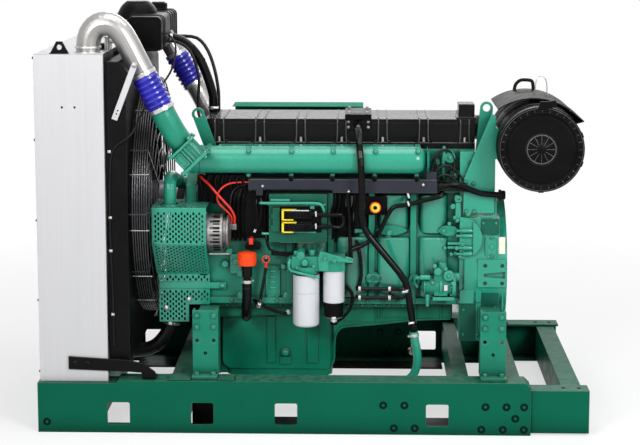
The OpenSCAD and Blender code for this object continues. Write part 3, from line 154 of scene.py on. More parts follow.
def buildMarks(spots):  # how far a point on a web is from the nearest bolt, in metres
    tree, source, sink = nodeGroup("boltMarks", (), ("Distance",))
    split = addNode(tree, "SeparateXYZ", Vector=objectCoords(tree)).outputs
    flat = addNode(tree, "CombineXYZ", X=split["X"], Z=split["Z"]).outputs[0]
    nearest = 1.0
    for x, z in spots:
        gap = mathNode(tree, "DISTANCE", flat, place(x, 0, z), kind="VectorMath")
        nearest = mathNode(tree, "MINIMUM", gap, nearest)
    connect(tree, nearest, sink["Distance"])
    return tree


# Station and height of each bolt head that is drawn on the rails' webs
railBolts = [(1326, 116), (1407, 116), (1367, 26), (1447, 26), (1716, 112), (1796, 112), (1863, 112), (1830, 67),
             (1701, 23), (1783, 23), (1863, 23), (34, 41)]
driftGroup, skinGroup, brushGroup = buildDrift(), buildSkin(), buildBrush()
marksGroup = buildMarks(railBolts)
# the dark ring and its colour are painted shadow round each head; the unpainted centre stands as a painted highlight
boltLook = {"outside": (0.0165, 0.0150), "inside": (0.0048, 0.0066), "head": (0.0112, 0.0085), "relief": 12.0,
            "share": 0.95, "shade": (0.001, 0.008, 0.006, 1)}  # radii in metres, where each edge fades
finishes = {}


# the amount that darkens the hollows is painted shade, and the paler edges are a painted highlight
def finish(name, colour, rough, metal=0.0, scale=20, amount=0.2, edge=0.15, dust=0.0, skin=300,
           depth=0.0006, coat=0.0, brushed=0.0, spread=0.12, level=0.5, marked=False, paintedShade=0.0):
    material = bpy.data.materials.new(name)
    material.use_nodes = True
    tree = material.node_tree
    drift = addNode(tree, "Group", driftGroup, Colour=(*colour, 1), Scale=scale, Amount=amount, Edge=edge, Dust=dust,
                    Grime=paintedShade).outputs
    height = addNode(tree, "Group", skinGroup, Scale=skin, Swell=20.0).outputs["Height"]
    shadeOut = drift["Colour"]
    roughness = ramp(tree, mathNode(tree, "ADD", height, drift["Mask"]), 0.9, 2.6,
                     max(0.02, rough - spread), min(1, rough + spread))
    if brushed:
        streak = addNode(tree, "Group", brushGroup).outputs["Streak"]
        tone = ramp(tree, streak, 0.3, 0.7, 1 - brushed, 1 + brushed)
        shadeOut = addNode(tree, "HueSaturation", Color=shadeOut, Value=tone).outputs["Color"]
        height = mathNode(tree, "ADD", height, streak)
    if marked:  # heads of the bolts through the webs, each in a dark ring that is painted shadow, its lighter centre left as a painted highlight
        reach = addNode(tree, "Group", marksGroup).outputs["Distance"]
        ring = mathNode(tree, "MULTIPLY", ramp(tree, reach, *boltLook["outside"]),
                        ramp(tree, reach, *boltLook["inside"]))
        shadeOut = mixColour(tree, mathNode(tree, "MULTIPLY", ring, boltLook["share"]), shadeOut, boltLook["shade"])
        height = mathNode(tree, "ADD", height, ramp(tree, reach, *boltLook["head"], 0.0, boltLook["relief"]))
    bump = addNode(tree, "Bump", Distance=depth, Height=height, Normal=drift["Rounded"])
    shader = {"Normal": bump.outputs["Normal"], "Base Color": shadeOut, "Roughness": roughness, "Metallic": metal,
              "Specular IOR Level": level, "Coat Weight": coat, "Coat Roughness": 0.12}
    for label, value in shader.items():
        connect(tree, value, tree.nodes["Principled BSDF"].inputs[label])
    finishes[name] = material


# Noise scales are counts a metre, depth is the height of the surface's grain in metres
finish("framePaint", (0.002, 0.09, 0.051), 0.42, scale=2.5, amount=0.08, dust=0.08, skin=420, depth=0.0003,
    level=0.05, paintedShade=1.0)
finish("railPaint", (0.002, 0.09, 0.051), 0.42, scale=2.5, amount=0.08, dust=0.08, skin=420, depth=0.0003, level=0.05,
    marked=True, paintedShade=1.0)
finish("enginePaint", (0.011, 0.208, 0.132), 0.4, scale=7, amount=0.16, dust=0.08, skin=260, depth=0.0011, coat=0.08,
    level=0.22, paintedShade=0.9)
# a darker copy of the engine paint: painted shade on the control unit, the gear case's lower covers and the sump's
# front
finish("paintedShadeGreen", (0.0035, 0.085, 0.053), 0.4, scale=7, amount=0.16, dust=0.08, skin=260, depth=0.0008, level=0.2,
    paintedShade=1.0)
# darker green on the sump and its tray: painted shade on the low parts
finish("sumpPaintedShadeGreen", (0.003, 0.142, 0.08), 0.4, scale=6, amount=0.12, dust=0.08, skin=260, level=0.16, paintedShade=0.9)
finish("bracketGreen", (0.006, 0.172, 0.105), 0.38, scale=6, amount=0.12, dust=0.08, level=0.18, paintedShade=0.8)
finish("bayGreen", (0.012, 0.24, 0.155), 0.24, scale=4, amount=0.06, dust=0.08, skin=500, depth=0.0002, coat=0.45,
    paintedShade=1.0)
finish("dullGreen", (0.004, 0.205, 0.115), 0.75, scale=4, amount=0.06, dust=0.08, skin=400, depth=0.0003, level=0.02,
    paintedShade=0.5)
# smooth, glossier paint whose colour is lighter than the engine paint: painted light on the parts that show brighter
finish("smoothGreenPaintedLight", (0.016, 0.262, 0.172), 0.28, scale=4, amount=0.06, dust=0.08, skin=500, depth=0.0002, coat=0.25,
    level=0.35, paintedShade=0.6)
finish("blackPaint", (0.003, 0.003, 0.003), 0.42, scale=5, amount=0.25, edge=0.05, dust=0.03, skin=350, level=0.08)
finish("glossBlack", (0.004, 0.004, 0.0043), 0.24, scale=5, edge=0.04, dust=0.03, coat=0.05, level=0.1)
finish("blackPlastic", (0.003, 0.003, 0.0031), 0.4, scale=9, edge=0.04, dust=0.03, skin=900, depth=0.0003, level=0.05)
finish("shinyBlack", (0.003, 0.003, 0.0032), 0.17, scale=9, edge=0.03, skin=700, depth=0.0001, spread=0.06,
    level=0.12)
# lighter grey for thin edges and ribs on black parts: a painted highlight
finish("paintedHighlightGrey", (0.055, 0.055, 0.056), 0.25, scale=9, edge=0.03, skin=700, depth=0.0001)
finish("hoodBlack", (0.01, 0.009, 0.008), 0.55, scale=5, amount=0.25, edge=0.05, skin=350, depth=0.0002, level=0.06)
finish("guardWire", (0.055, 0.055, 0.058), 0.26, metal=0.8, edge=0.0)
finish("slatePlastic", (0.018, 0.02, 0.029), 0.42, scale=6, amount=0.15, edge=0.06, dust=0.04, skin=900, depth=0.0003,
    level=0.2)
finish("rubber", (0.0035, 0.0035, 0.0037), 0.48, scale=12, edge=0.03, dust=0.05, skin=700, depth=0.0003, level=0.18)
finish("blueHose", (0.022, 0.02, 0.33), 0.26, edge=0.05, dust=0.02, skin=500, depth=0.0003, coat=0.3, level=0.35)
finish("sheetSilver", (0.49, 0.49, 0.5), 0.46, metal=0.3, scale=1.2, amount=0.015, edge=0.1, skin=900, depth=0.0001,
    brushed=0.025, spread=0.05)
finish("pipeSilver", (0.35, 0.34, 0.33), 0.34, metal=0.85, scale=8, amount=0.03, edge=0.1, skin=600, depth=0.00005,
    spread=0.03)
finish("coreGrey", (0.22, 0.23, 0.24), 0.5, metal=0.8, scale=10, amount=0.15, edge=0.1, dust=0.08)
finish("castSilver", (0.24, 0.235, 0.23), 0.42, metal=0.8, scale=14, amount=0.12, dust=0.08, skin=500, depth=0.0008,
    paintedShade=0.8)
finish("castIron", (0.16, 0.11, 0.085), 0.68, metal=0.4, scale=14, amount=0.25, dust=0.08, depth=0.0012, paintedShade=0.6)
finish("steel", (0.36, 0.36, 0.37), 0.36, metal=0.9, scale=8, amount=0.05, skin=600, depth=0.00003, spread=0.04)
finish("zinc", (0.55, 0.55, 0.53), 0.28, metal=0.8, scale=30, amount=0.1, skin=800, depth=0.0002)
finish("filterWhite", (0.52, 0.53, 0.555), 0.26, scale=4, amount=0.02, edge=0.0, skin=600, depth=0.0001, coat=0.4,
    spread=0.05)
finish("orange", (0.78, 0.052, 0.006), 0.32, scale=10, amount=0.08, edge=0.05, coat=0.1, level=0.2)
finish("yellow", (0.72, 0.55, 0.02), 0.38, amount=0.1, edge=0.05)
finish("redCable", (0.6, 0.02, 0.01), 0.36, amount=0.1, edge=0.0)
finish("cream", (0.72, 0.68, 0.56), 0.4, scale=10, amount=0.05, edge=0.1)
# grey metal: real on the tie wires and bolts, a painted highlight on the valve cover's studs
finish("greyWireAndPaintedHighlight", (0.3, 0.28, 0.27), 0.35, metal=0.7, amount=0.15, edge=0.0)

nodeFinish = {"railPaint": "rail_near rail_far", "framePaint": "rail_extensions crossmembers",
    "bracketGreen": "mount_brackets mount_arms",
    "enginePaint": "cylinder_block front_cover cylinder_head inlet_elbow filter_heads fuel_pump engine_eyes",
    "paintedShadeGreen": "control_unit", "dullGreen": "heat_shield", "sumpPaintedShadeGreen": "oil_sump",
    "smoothGreenPaintedLight": "flywheel_housing inlet_manifold belt_guard coolant_pipe filter_bracket",
    "blackPaint": "damper radiator_stays fan_shroud lifting_eyes starter_motor", "hoodBlack": "rain_hood",
    "glossBlack": "valve_cover", "blackPlastic": "fan expansion_tank air_filter breather_bracket",
    "slatePlastic": "cable_duct", "guardWire": "fan_guard",
    "rubber": "belt radiator_hoses fuel_pipes intake_duct thin_hoses",
    "shinyBlack": "tank_hoses harness breather_pipe filler_tube", "blueHose": "charge_hoses",
    "sheetSilver": "radiator_panels", "pipeSilver": "charge_pipe_near charge_pipe_far", "coreGrey": "radiator_core",
    "castSilver": "alternator", "castIron": "exhaust_manifold turbocharger", "steel": "flywheel fan_drive dipstick",
    "filterWhite": "oil_filter fuel_filter", "orange": "oil_filler", "redCable": "power_cables"}
for finishName, members in nodeFinish.items():
    for member in members.split():
        nodes[member].data.materials.clear()
        nodes[member].data.materials.append(finishes[finishName])
print("materials ready")

cameraSettings = {"place": (0.185, -6.568, 1.981), "pitch": 7.495, "yaw": 1.491, "lens": 91.303, "shiftY": -0.15}
lightSettings = [  # name, place, aim, width, height, watts
    ("keyLeft", (-2.6, -5.6, 3.6), (-0.1, 0, 0.9), 2.0, 2.0, 225),
    ("softTop", (0.3, -0.6, 4.6), (0.0, 0, 0.7), 4.0, 2.4, 110),
    ("fillRight", (3.0, -4.6, 3.0), (0.5, 0, 0.8), 1.5, 1.8, 215),
    ("backRim", (0.4, 4.4, 3.4), (0.0, 0, 0.9), 4.0, 2.0, 90),
]
worldLook = {"Color": (0.93, 0.95, 1.0, 1), "Strength": 0.17}
floorLook = {"Base Color": (0.86, 0.86, 0.86, 1), "Roughness": 0.9, "Specular IOR Level": 0.0}
floorFade = (1.6, 3.6)  # metres from the middle over which the floor turns plain white
floorLift = 0.6  # how far it is lifted towards white right under the object


def seenWhite(tree, shaded, source, sink, fade=None):  # plain white for the eye and in reflections
    path = addNode(tree, "LightPath").outputs
    seen = path["Is Camera Ray"]
    for label in ("Is Glossy Ray", "Is Transmission Ray"):
        seen = mathNode(tree, "ADD", seen, path[label], clamp=True)
    if fade is not None:
        seen = mathNode(tree, "MULTIPLY", seen, fade)
    mixer = addNode(tree, "MixShader")
    glow = addNode(tree, source, Color=(1, 1, 1, 1))
    for index, value in enumerate((seen, shaded, glow.outputs[0])):
        connect(tree, value, mixer.inputs[index])
    connect(tree, mixer.outputs[0], tree.nodes[sink].inputs["Surface"])


def link(name, data):
    made = bpy.data.objects.new(name, data)
    scene.collection.objects.link(made)
    return made


scene = bpy.context.scene
scene.world = bpy.data.worlds.new("studio")
scene.world.use_nodes = True
worldTree = scene.world.node_tree
for label, value in worldLook.items():
    connect(worldTree, value, worldTree.nodes["Background"].inputs[label])
seenWhite(worldTree, worldTree.nodes["Background"].outputs[0], "Background", "World Output")

floorShape = bmesh.new()
bmesh.ops.create_grid(floorShape, x_segments=8, y_segments=8, size=14)
floorMesh = bpy.data.meshes.new("floor")
floorShape.to_mesh(floorMesh)
floorShape.free()
floorPaint = bpy.data.materials.new("floorPaint")
floorPaint.use_nodes = True
floorTree = floorPaint.node_tree
floorShader = floorTree.nodes["Principled BSDF"]
for label, value in floorLook.items():
    connect(floorTree, value, floorShader.inputs[label])
floorReach = mathNode(floorTree, "LENGTH", objectCoords(floorTree), kind="VectorMath")
seenWhite(floorTree, floorShader.outputs[0], "Emission", "Material Output",
    ramp(floorTree, floorReach, *floorFade, floorLift))
floorMesh.materials.append(floorPaint)
floor = link("floor", floorMesh)

for name, spot, aim, width, height, watts in lightSettings:
    lamp = bpy.data.lights.new(name, "AREA")
    lamp.shape, lamp.size, lamp.size_y, lamp.energy = "RECTANGLE", width, height, watts
    lampObject = link(name, lamp)
    lampObject.location = spot
    lampObject.rotation_euler = (Vector(aim) - Vector(spot)).to_track_quat("-Z", "Y").to_euler()
lens = bpy.data.cameras.new("camera")
lens.lens, lens.sensor_width, lens.shift_y = cameraSettings["lens"], 36, cameraSettings["shiftY"]
camera = link("camera", lens)
camera.location = cameraSettings["place"]
camera.rotation_euler = (math.radians(90 - cameraSettings["pitch"]), 0, math.radians(cameraSettings["yaw"]))
scene.camera = camera
scene.view_settings.view_transform = "Standard"
print("stage ready")

axes = {"+x": (1, 0, 0), "-x": (-1, 0, 0), "+y": (0, 1, 0), "-y": (0, -1, 0), "+z": (0, 0, 1), "-z": (0, 0, -1)}
both = (-1, 1)  # the near side and the far side
shape = bmesh.new()  # the piece being made: every tool adds to it, and wrapUp empties it


def wayOf(axis):
    return Vector(axes[axis] if isinstance(axis, str) else axis).normalized()


def turnTo(axis):  # a turn that takes +Z to the axis
    return wayOf(axis).to_track_quat("Z", "Y").to_matrix().to_4x4()


def wrapUp(name, finishName, body="engine", bevel=0.0, sharp=38):
    mesh = bpy.data.meshes.new(name)
    shape.to_mesh(mesh)
    shape.clear()
    mesh.shade_smooth()
    mesh.set_sharp_from_angle(angle=math.radians(sharp))
    mesh.materials.append(finishes[finishName])
    piece = link(name, mesh)
    if bevel:
        rounding = piece.modifiers.new("rounding", "BEVEL")
        rounding.width, rounding.segments, rounding.limit_method = bevel / 1000, 2, "ANGLE"
        rounding.angle_limit = math.radians(40)
    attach(piece, body)
    return piece


def circle(count, radius=1.0, start=0.0):  # even points on a circle, counted from a share of one step
    turns = [math.tau * (i + start) / count for i in range(count)]
    return [(radius * math.cos(turn), radius * math.sin(turn)) for turn in turns]


def addCopy(other, matrix):
    copied = bpy.data.meshes.new("copied")
    other.to_mesh(copied)
    other.free()
    copied.transform(matrix)
    shape.from_mesh(copied)
    bpy.data.meshes.remove(copied)


def box(x0, y0, z0, x1, y1, z1):
    a, b = place(x0, y0, z0), place(x1, y1, z1)
    bmesh.ops.create_cube(shape, size=1, matrix=Matrix.Translation((a + b) / 2) @ Matrix.Diagonal((*(b - a), 1)))


def rod(start, end, radius, endRadius=None, sides=16):
    a, b = place(*start), place(*end)
    bmesh.ops.create_cone(shape, cap_ends=True, segments=sides, radius1=radius / 1000, depth=(b - a).length,
        radius2=(radius if endRadius is None else endRadius) / 1000,
        matrix=Matrix.Translation((a + b) / 2) @ turnTo(b - a))


def boss(x, z, start, end, radius, endRadius=None, sides=24):  # a rod that stands out of a side, along Y
    rod((x, start, z), (x, end, z), radius, endRadius, sides)


def lathe(base, axis, profile, sides=32):  # a profile of (radius, distance along the axis) spun round it
    turned = bmesh.new()
    chain = [turned.verts.new((r / 1000, 0, h / 1000)) for r, h in profile]
    edges = [turned.edges.new(pair) for pair in zip(chain, chain[1:])]
    if profile[0][0] and profile[-1][0]:
        edges.append(turned.edges.new((chain[-1], chain[0])))
    bmesh.ops.spin(turned, geom=chain + edges, axis=(0, 0, 1), cent=(0, 0, 0), steps=sides, angle=math.tau,
        use_merge=True)
    bmesh.ops.remove_doubles(turned, verts=turned.verts, dist=0.000005)
    bmesh.ops.recalc_face_normals(turned, faces=turned.faces)
    addCopy(turned, Matrix.Translation(place(*base)) @ turnTo(axis))


def band(base, axis, radius, thick, half, sides=32, soft=0):  # a plain ring round a pipe or a body
    lathe(base, axis, [(radius, -half), (radius + thick, soft - half), (radius + thick, half - soft), (radius, half)],
        sides)


def bolt(at, axis, across=12):  # a hexagon head on its washer, standing on a face
    way, foot = wayOf(axis), Vector(at)
    low, top = foot + way * across * 0.12, foot + way * across * 0.54
    rod(foot, low, across * 0.62)
    rod(low, top, across * 0.5, sides=6)
    rod(top, top + way * across * 0.07, across * 0.46, across * 0.36, sides=12)


def bolts(name, finishName, groups):  # groups of (axis, width across, places)
    for axis, across, places in groups:
        for at in places:
            bolt(at, axis, across)
    wrapUp(name, finishName)


def clamp(centre, axis, radius, width=12, screwAt=0.0):  # a band with its screw housing beside it
    way = wayOf(axis)
    band(centre, way, radius, 1.6, width / 2, 40)
    side = turnTo(way) @ Vector((math.cos(screwAt), math.sin(screwAt), 0))
    along, across = way.cross(side), way * width * 0.4
    middle = Vector(centre) + side * (radius + 5)
    rod(middle - along * 9, middle + along * 9, 4.5, sides=10)
    rod(middle + along * 9, middle + along * 13, 5.2, sides=6)
    rod(middle - side * 4 - across, middle - side * 4 + across, 5, sides=6)


def smoothRoute(points, step=6.0):  # a rounded path through the points, as even steps
    points = [Vector(p) for p in points]
    ends = [points[0] * 2 - points[1]] + points + [points[-1] * 2 - points[-2]]
    route = []
    for a, b, c, d in zip(ends, ends[1:], ends[2:], ends[3:]):
        count = max(2, int((c - b).length / step))
        for t in (i / count for i in range(count)):
            route.append(0.5 * (2 * b + (c - a) * t + (2 * a - 5 * b + 4 * c - d) * t * t + (3 * b - a - 3 * c + d)
                * t ** 3))
    return route + [points[-1]]


def tube(points, radius, step=6.0, ribbed=0.0, sides=12, rounded=True):  # a hose or lead along its route
    route = smoothRoute(points, step) if rounded else points
    curve = bpy.data.curves.new("route", "CURVE")
    curve.dimensions, curve.bevel_depth, curve.bevel_resolution = "3D", radius / 1000, max(0, sides // 2 - 2)
    curve.use_fill_caps = True
    spline = curve.splines.new("POLY")
    spline.points.add(len(route) - 1)
    for i, (point, spot) in enumerate(zip(spline.points, route)):
        point.co = (*place(*spot), 1)
        point.radius = 1 - ribbed * (i % 2)
    holder = bpy.data.objects.new("route", curve)
    mesh = bpy.data.meshes.new_from_object(holder)
    shape.from_mesh(mesh)
    bpy.data.objects.remove(holder)
    bpy.data.meshes.remove(mesh)
    bpy.data.curves.remove(curve)


def wire(start, end, radius):  # a straight wire or bead
    tube([start, end], radius, rounded=False, sides=8)


def sheet(outline, level, thickness, holes=(), flat="xz", matrix=None):  # in the plane named by its two axes
    u, v = ("xyz".index(axis) for axis in flat)
    w = 3 - u - v
    flatShape = bmesh.new()
    edges = []
    for loop in [outline, *holes]:
        ring = []
        for a, b in loop:
            spot = [0, 0, 0]
            spot[u], spot[v], spot[w] = a, b, level
            ring.append(flatShape.verts.new(place(*spot)))
        edges += [flatShape.edges.new(pair) for pair in zip(ring, ring[1:] + ring[:1])]
    bmesh.ops.triangle_fill(flatShape, use_beauty=True, use_dissolve=False, edges=edges)
    made = bmesh.ops.extrude_face_region(flatShape, geom=flatShape.faces[:])["geom"]
    shift = Vector((0, 0, 0))
    shift[w] = thickness / 1000
    bmesh.ops.translate(flatShape, verts=[g for g in made if isinstance(g, bmesh.types.BMVert)], vec=shift)
    bmesh.ops.recalc_face_normals(flatShape, faces=flatShape.faces)
    addCopy(flatShape, matrix or Matrix.Identity(4))


def ringOf(cx, cy, radius, count=16):
    return [(cx + c, cy + s) for c, s in circle(count, radius)]


def roundedLoop(a0, a1, b0, b1, r):
    steps, loop = 5, []
    for a, b, start in ((a1 - r, b1 - r, 0), (a0 + r, b1 - r, 90), (a0 + r, b0 + r, 180), (a1 - r, b0 + r, 270)):
        for i in range(steps + 1):
            turn = math.radians(start + 90 * i / steps)
            loop.append((a + r * math.cos(turn), b + r * math.sin(turn)))
    return loop


def rim(a0, a1, b0, b1, r, wide, inner, level, thickness):  # a rounded frame of even width
    hole = roundedLoop(a0 + wide, a1 - wide, b0 + wide, b1 - wide, inner)
    sheet(roundedLoop(a0, a1, b0, b1, r), level, thickness, [hole])


def turnedTo(centre, degrees, radius):  # a point at an angle round a centre
    return tuple(c + radius * f(math.radians(degrees)) for c, f in zip(centre, (math.cos, math.sin)))


# Perforated sheet: rows of tall six-sided holes that keep clear of the rim and of what is let in
perforation = {"pitch": 11.4, "rise": 20, "width": 7.6, "height": 14, "rim": 5}


def isInside(outline, a, b):
    crossings = 0
    for (a0, b0), (a1, b1) in zip(outline, outline[1:] + outline[:1]):
        if (b0 > b) != (b1 > b) and a < a0 + (b - b0) * (a1 - a0) / (b1 - b0):
            crossings += 1
    return crossings % 2 == 1


def holeRows(outline, keepOuts=()):
    pitch, rise, width, height, rim = perforation.values()
    (lowA, highA), (lowB, highB) = ((min(axis), max(axis)) for axis in zip(*outline))
    w, h = width / 2, height / 2
    columns = int((highA - lowA - 2 * (rim + w)) // pitch)
    startA = (lowA + highA - columns * pitch) / 2
    holes = []
    for i in range(columns + 1):
        a = startA + i * pitch
        b = lowB + rim + h + (i % 2) * rise / 2
        while b < highB:
            clear = all(isInside(outline, a + sa * (w + rim), b + sb * (h + rim)) for sa in both for sb in both)
            for a0, b0, a1, b1 in keepOuts:
                clear = clear and not (a0 < a + w and a - w < a1 and b0 < b + h and b - h < b1)
            if clear:
                holes.append([(a + da, b + db) for da, db in ((0, h), (w, h - w), (w, w - h), (0, -h), (-w, w - h),
                    (-w, h - w))])
            b += rise
    return holes


beltGuard = {"x": (428, 639), "y": -400, "z": (705, 847), "slopeY": -264.3, "slopeZ": 560, "lowX": (437, 555),
    "lowZ": 365, "stepZ": 436, "sheet": 3, "backX": 540, "innerY": -212, "pipe": (492, -330), "pipeHole": 34,
    "strapZ": (502, 526), "strapEnd": 703, "tabX": (600, 630), "blockY": -250.3}
((x0, x1), faceY, (z0, z1), slopeY, slopeZ, (lowX0, lowX1), lowZ, stepZ, thick, backX, innerY, (pipeX, pipeY),
    pipeHole, (strapZ0, strapZ1), strapEnd, (tabX0, tabX1), blockY) = beltGuard.values()
lipY, reach = slopeY - thick, pipeHole + 8
faceOutline = [(x0, z0), (x1, z0), (x1, z1), (x0, z1)]
sheet(faceOutline, faceY - thick, thick, holeRows(faceOutline))
topOutline = [(x0, faceY - thick), (x1, faceY - thick), (x1, lipY), (backX, lipY), (backX, innerY), (x0, innerY)]
topHoles = holeRows(topOutline, [(pipeX - reach, pipeY - reach, pipeX + reach, pipeY + reach)])
sheet(topOutline, z1, thick, topHoles + [ringOf(pipeX, pipeY, pipeHole, 28)], flat="xy")
band((pipeX, pipeY, z1 + thick + 2.5), "+z", pipeHole, 4, 2.5)
run, drop = slopeY - faceY, z0 - slopeZ
slopeOutline = [(x0, 0), (x1, 0), (x1, math.hypot(run, drop)), (x0, math.hypot(run, drop))]
slopeTurn = Matrix.Translation((0, faceY / 1000, z0 / 1000)) @ Matrix.Rotation(-math.atan2(drop, run), 4, "X")
sheet(slopeOutline, -thick, thick, holeRows(slopeOutline), flat="xy", matrix=slopeTurn)
leafOutline = [(lowX0, slopeZ), (lowX0, lowZ), (lowX1, lowZ), (lowX1, stepZ), (x1, stepZ), (x1, slopeZ)]
sheet(leafOutline, lipY, thick, holeRows(leafOutline, [(0, strapZ0 - 3, 2000, strapZ1 + 3)]))
box(lowX0 + 2, lipY - 4, strapZ0, strapEnd, lipY, strapZ1)
boss(689, 514, lipY, blockY, 10)
box(tabX0, lipY, slopeZ - 6, tabX1, blockY, slopeZ)
guardPiece = wrapUp("belt_guard_sheet", "smoothGreenPaintedLight")
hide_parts("belt_guard")
bolts("belt_guard_bolts", "zinc", [("-y", 15, [(465, lipY, 422), (556, lipY, 457)])])
bolts("belt_guard_green_bolts", "smoothGreenPaintedLight", [("-y", 17, [(689, lipY - 4, 514)]),
    ("-y", 10, [(x, faceY - 3, 712) for x in (440, 627)])])
print("belt guard made")

# Radiator: top sheet, fins, fittings on top, fixings of the side panels and the shroud
radiator = {"core": (30, 232), "coreZ": (284, 1364), "coreY": 519, "tubePitch": 21.5, "finPitch": 9}
(frontX, rearX), (coreLow, coreHigh), coreY, tubePitch, finPitch = radiator.values()
box(8, -524, 1454.2, 266, 524, 1456)
box(7, -524, 1441, 9, 524, 1456)
wrapUp("radiator_top_sheet", "sheetSilver", bevel=0.8)
for low, high in ((frontX - 3.5, frontX), (rearX, rearX + 3.5)):
    for i in range(1, int(2 * coreY / tubePitch)):
        y = i * tubePitch - coreY
        box(low, y - 2, coreLow + 2, high, y + 2, coreHigh - 2)
wrapUp("radiator_tubes", "coreGrey")
for i in range(1, int((coreHigh - coreLow) / finPitch)):
    z = coreLow + i * finPitch
    for low, high in ((frontX - 2.5, frontX), (rearX, rearX + 2.5)):
        box(low, 4 - coreY, z, high, coreY - 4, z + 1)
wrapUp("radiator_fins", "coreGrey")
for z in (239, 1409):  # long ribs on the two end tanks
    for s in both:
        box(13.5, -505, z + s * 24 - 3, 16, 505, z + s * 24 + 3)
wrapUp("radiator_tank_ribs", "coreGrey", bevel=1)
for side in both:
    for x in (111, 159):
        lathe((x, side * 525, 1255), (0, side, 0), [(0, 0.6), (3.4, 0.6), (4.4, 0), (0, 0)], 16)
wrapUp("radiator_panel_rivets", "blackPaint")
bolts("radiator_edge_bolts", "blackPaint", [("-x", 9,
    [(6, s * 516, z) for s in both for z in (1441, 1130, 820, 510, 230)])])
for x, z in ((284, 1084), (284, 830), (284, 701), (288, 453)):
    box(x - 6, -507.5, z - 5, x + 6, -500, z + 5)
    bolt((x, -507.5, z), "-y", 7)
wrapUp("overflow_hose_clips", "zinc")
for s, r in ((-1, 46), (1, 42)):
    lathe((198, s * 425, 1454), "+z", [(r, 0), (r + 10, 0), (r + 10, 4), (r + 2, 5), (r, 5)], 40)
    lathe((198, s * 425, 1470), "+z", [(r, 0), (r + 4, 1), (r + 5, 5), (r + 4, 9), (r, 10)], 40)
wrapUp("charge_pipe_collars", "zinc")
# drain and filling stubs beside the charge pipe
for x, y, high in ((258, -340, 1502), (258, -300, 1478)):
    rod((x, y, 1456), (x, y, high), 11, sides=20)
    lathe((x, y, high), "+z", [(0, 12), (9, 12), (15, 7), (15, 0), (0, 0)], 24)
tube([(258, -340, 1490), (285, -340, 1490), (304, -340, 1474), (306, -340, 1450)], 7, sides=10)
wrapUp("radiator_fittings", "zinc")
lathe((232, -300, 1456), "+z", [(0, 24), (18, 24), (24, 18), (24, 4), (30, 3), (30, 0), (0, 0)], 28)
wrapUp("radiator_stub_cap", "blackPaint")
for s in both:  # bent feet under the lifting eyes
    box(66, s * 505 - 14, 1456, 137, s * 505 + 14, 1459)
wrapUp("lifting_eye_feet", "blackPaint", bevel=0.6)
bolts("radiator_stay_bolts", "blackPaint", [("-y", 14, [(144, -533.3, 268), (192, -533.3, 268)]),
    ("+y", 14, [(144, 533.3, 268), (192, 533.3, 268)]), ("+z", 14, [(427, s * 500, 213) for s in both])])

# Flat tie between the charge pipe and the shroud
strap = {"top": (385, 1414), "low": (309, 1215), "half": 11.5, "y": -510, "thick": 4}
top, low = Vector(strap["top"]), Vector(strap["low"])
way = (top - low).normalized()
side = Vector((-way.y, way.x)) * strap["half"]
outline = [tuple(low - way * 9 - side), tuple(low - way * 9 + side)]
for i in range(9):
    turn = math.pi * i / 8
    outline.append(tuple(top + side * math.cos(turn) + way * strap["half"] * math.sin(turn)))
strapHoles = [ringOf(*(low + way * d), 3.4, 12) for d in (2, 15, 28)] + [ringOf(*top, 4.5, 14)]
sheet(outline, strap["y"], strap["thick"], strapHoles)
wrapUp("charge_pipe_tie", "sheetSilver")
boss(385, 1414, -508, -462, 7, sides=16)
boss(309, 1215, -508, -498, 5, sides=16)
wrapUp("charge_pipe_tie_posts", "zinc")
bolts("charge_pipe_tie_bolts", "steel", [("-y", 17, [(385, -510, 1414)])])

# Worm clamps at both ends of every bellows and on the thick hoses
for start, end, screwAt in (((404, -425, 1380), (479, -425, 1230), 0.3), ((432, 425, 1384), (516, 425, 1240), 0.3)):
    start, end = Vector(start), Vector(end)
    run = end - start
    for share, turn in ((0.055, screwAt), (0.945, screwAt + 0.4)):
        clamp(start + run * share, run, 48.3, 16, turn)
wrapUp("bellows_clamps", "zinc")
clamp((460, 60, 1474), "+x", 19.4, 12, 1.2)
clamp((628, 66, 1186), "+z", 19.4, 12, 2.0)
clamp((471.5, -186, 342), (0.2, 0.1, 0.97), 28.6, 13, 3.6)
clamp((532, -160, 520), "+x", 28.6, 13, 3.6)
clamp((266, -200, 228), "+x", 28.6, 13, 3.6)
clamp((460, 100, 1478), "+x", 7.2, 8, 1.2)
wrapUp("hose_clamps", "zinc")
band((578, 63, 1379), (0.4, 0, -0.9), 19, 1.6, 3, 28)
box(568, 42, 1388, 577, 50, 1396)
wrapUp("hose_tie", "blackPlastic")
print("radiator dressed")

# Fan guard: bright tie wires round the rings, bolts on the fan hub and the pulleys behind
fanZ, crankZ = 837, 567  # heights of the fan's and the crankshaft's centres
for height in (151, -63, -257):
    for s in both:
        flat = math.sqrt(479.5 ** 2 - height ** 2)
        spot = (s * flat, fanZ + height)
        tube([(354, *spot), (360, *spot), (420, *spot), (424, spot[0] * 0.985, spot[1]),
            (424, spot[0] * 0.97, spot[1] - 6)], 2.2, sides=8)
for turn in (52, 90, 128, 232, 270, 308):
    spot = turnedTo((0, fanZ), turn, 479.5)
    wire((354, *spot), (424, *spot), 2.2)
wrapUp("fan_guard_ties", "greyWireAndPaintedHighlight")
for spot in ringOf(0, fanZ, 58, 6):
    bolt((327, *spot), "-x", 15)
wrapUp("fan_hub_bolts", "zinc", body="cooling_fan")
for c, s in circle(4, 66, 0.5):
    bolt((500, c, fanZ + s), "-x", 15)
for spot in ringOf(0, crankZ, 46, 6):
    bolt((447, *spot), "-x", 18)
wrapUp("pulley_bolts", "zinc")

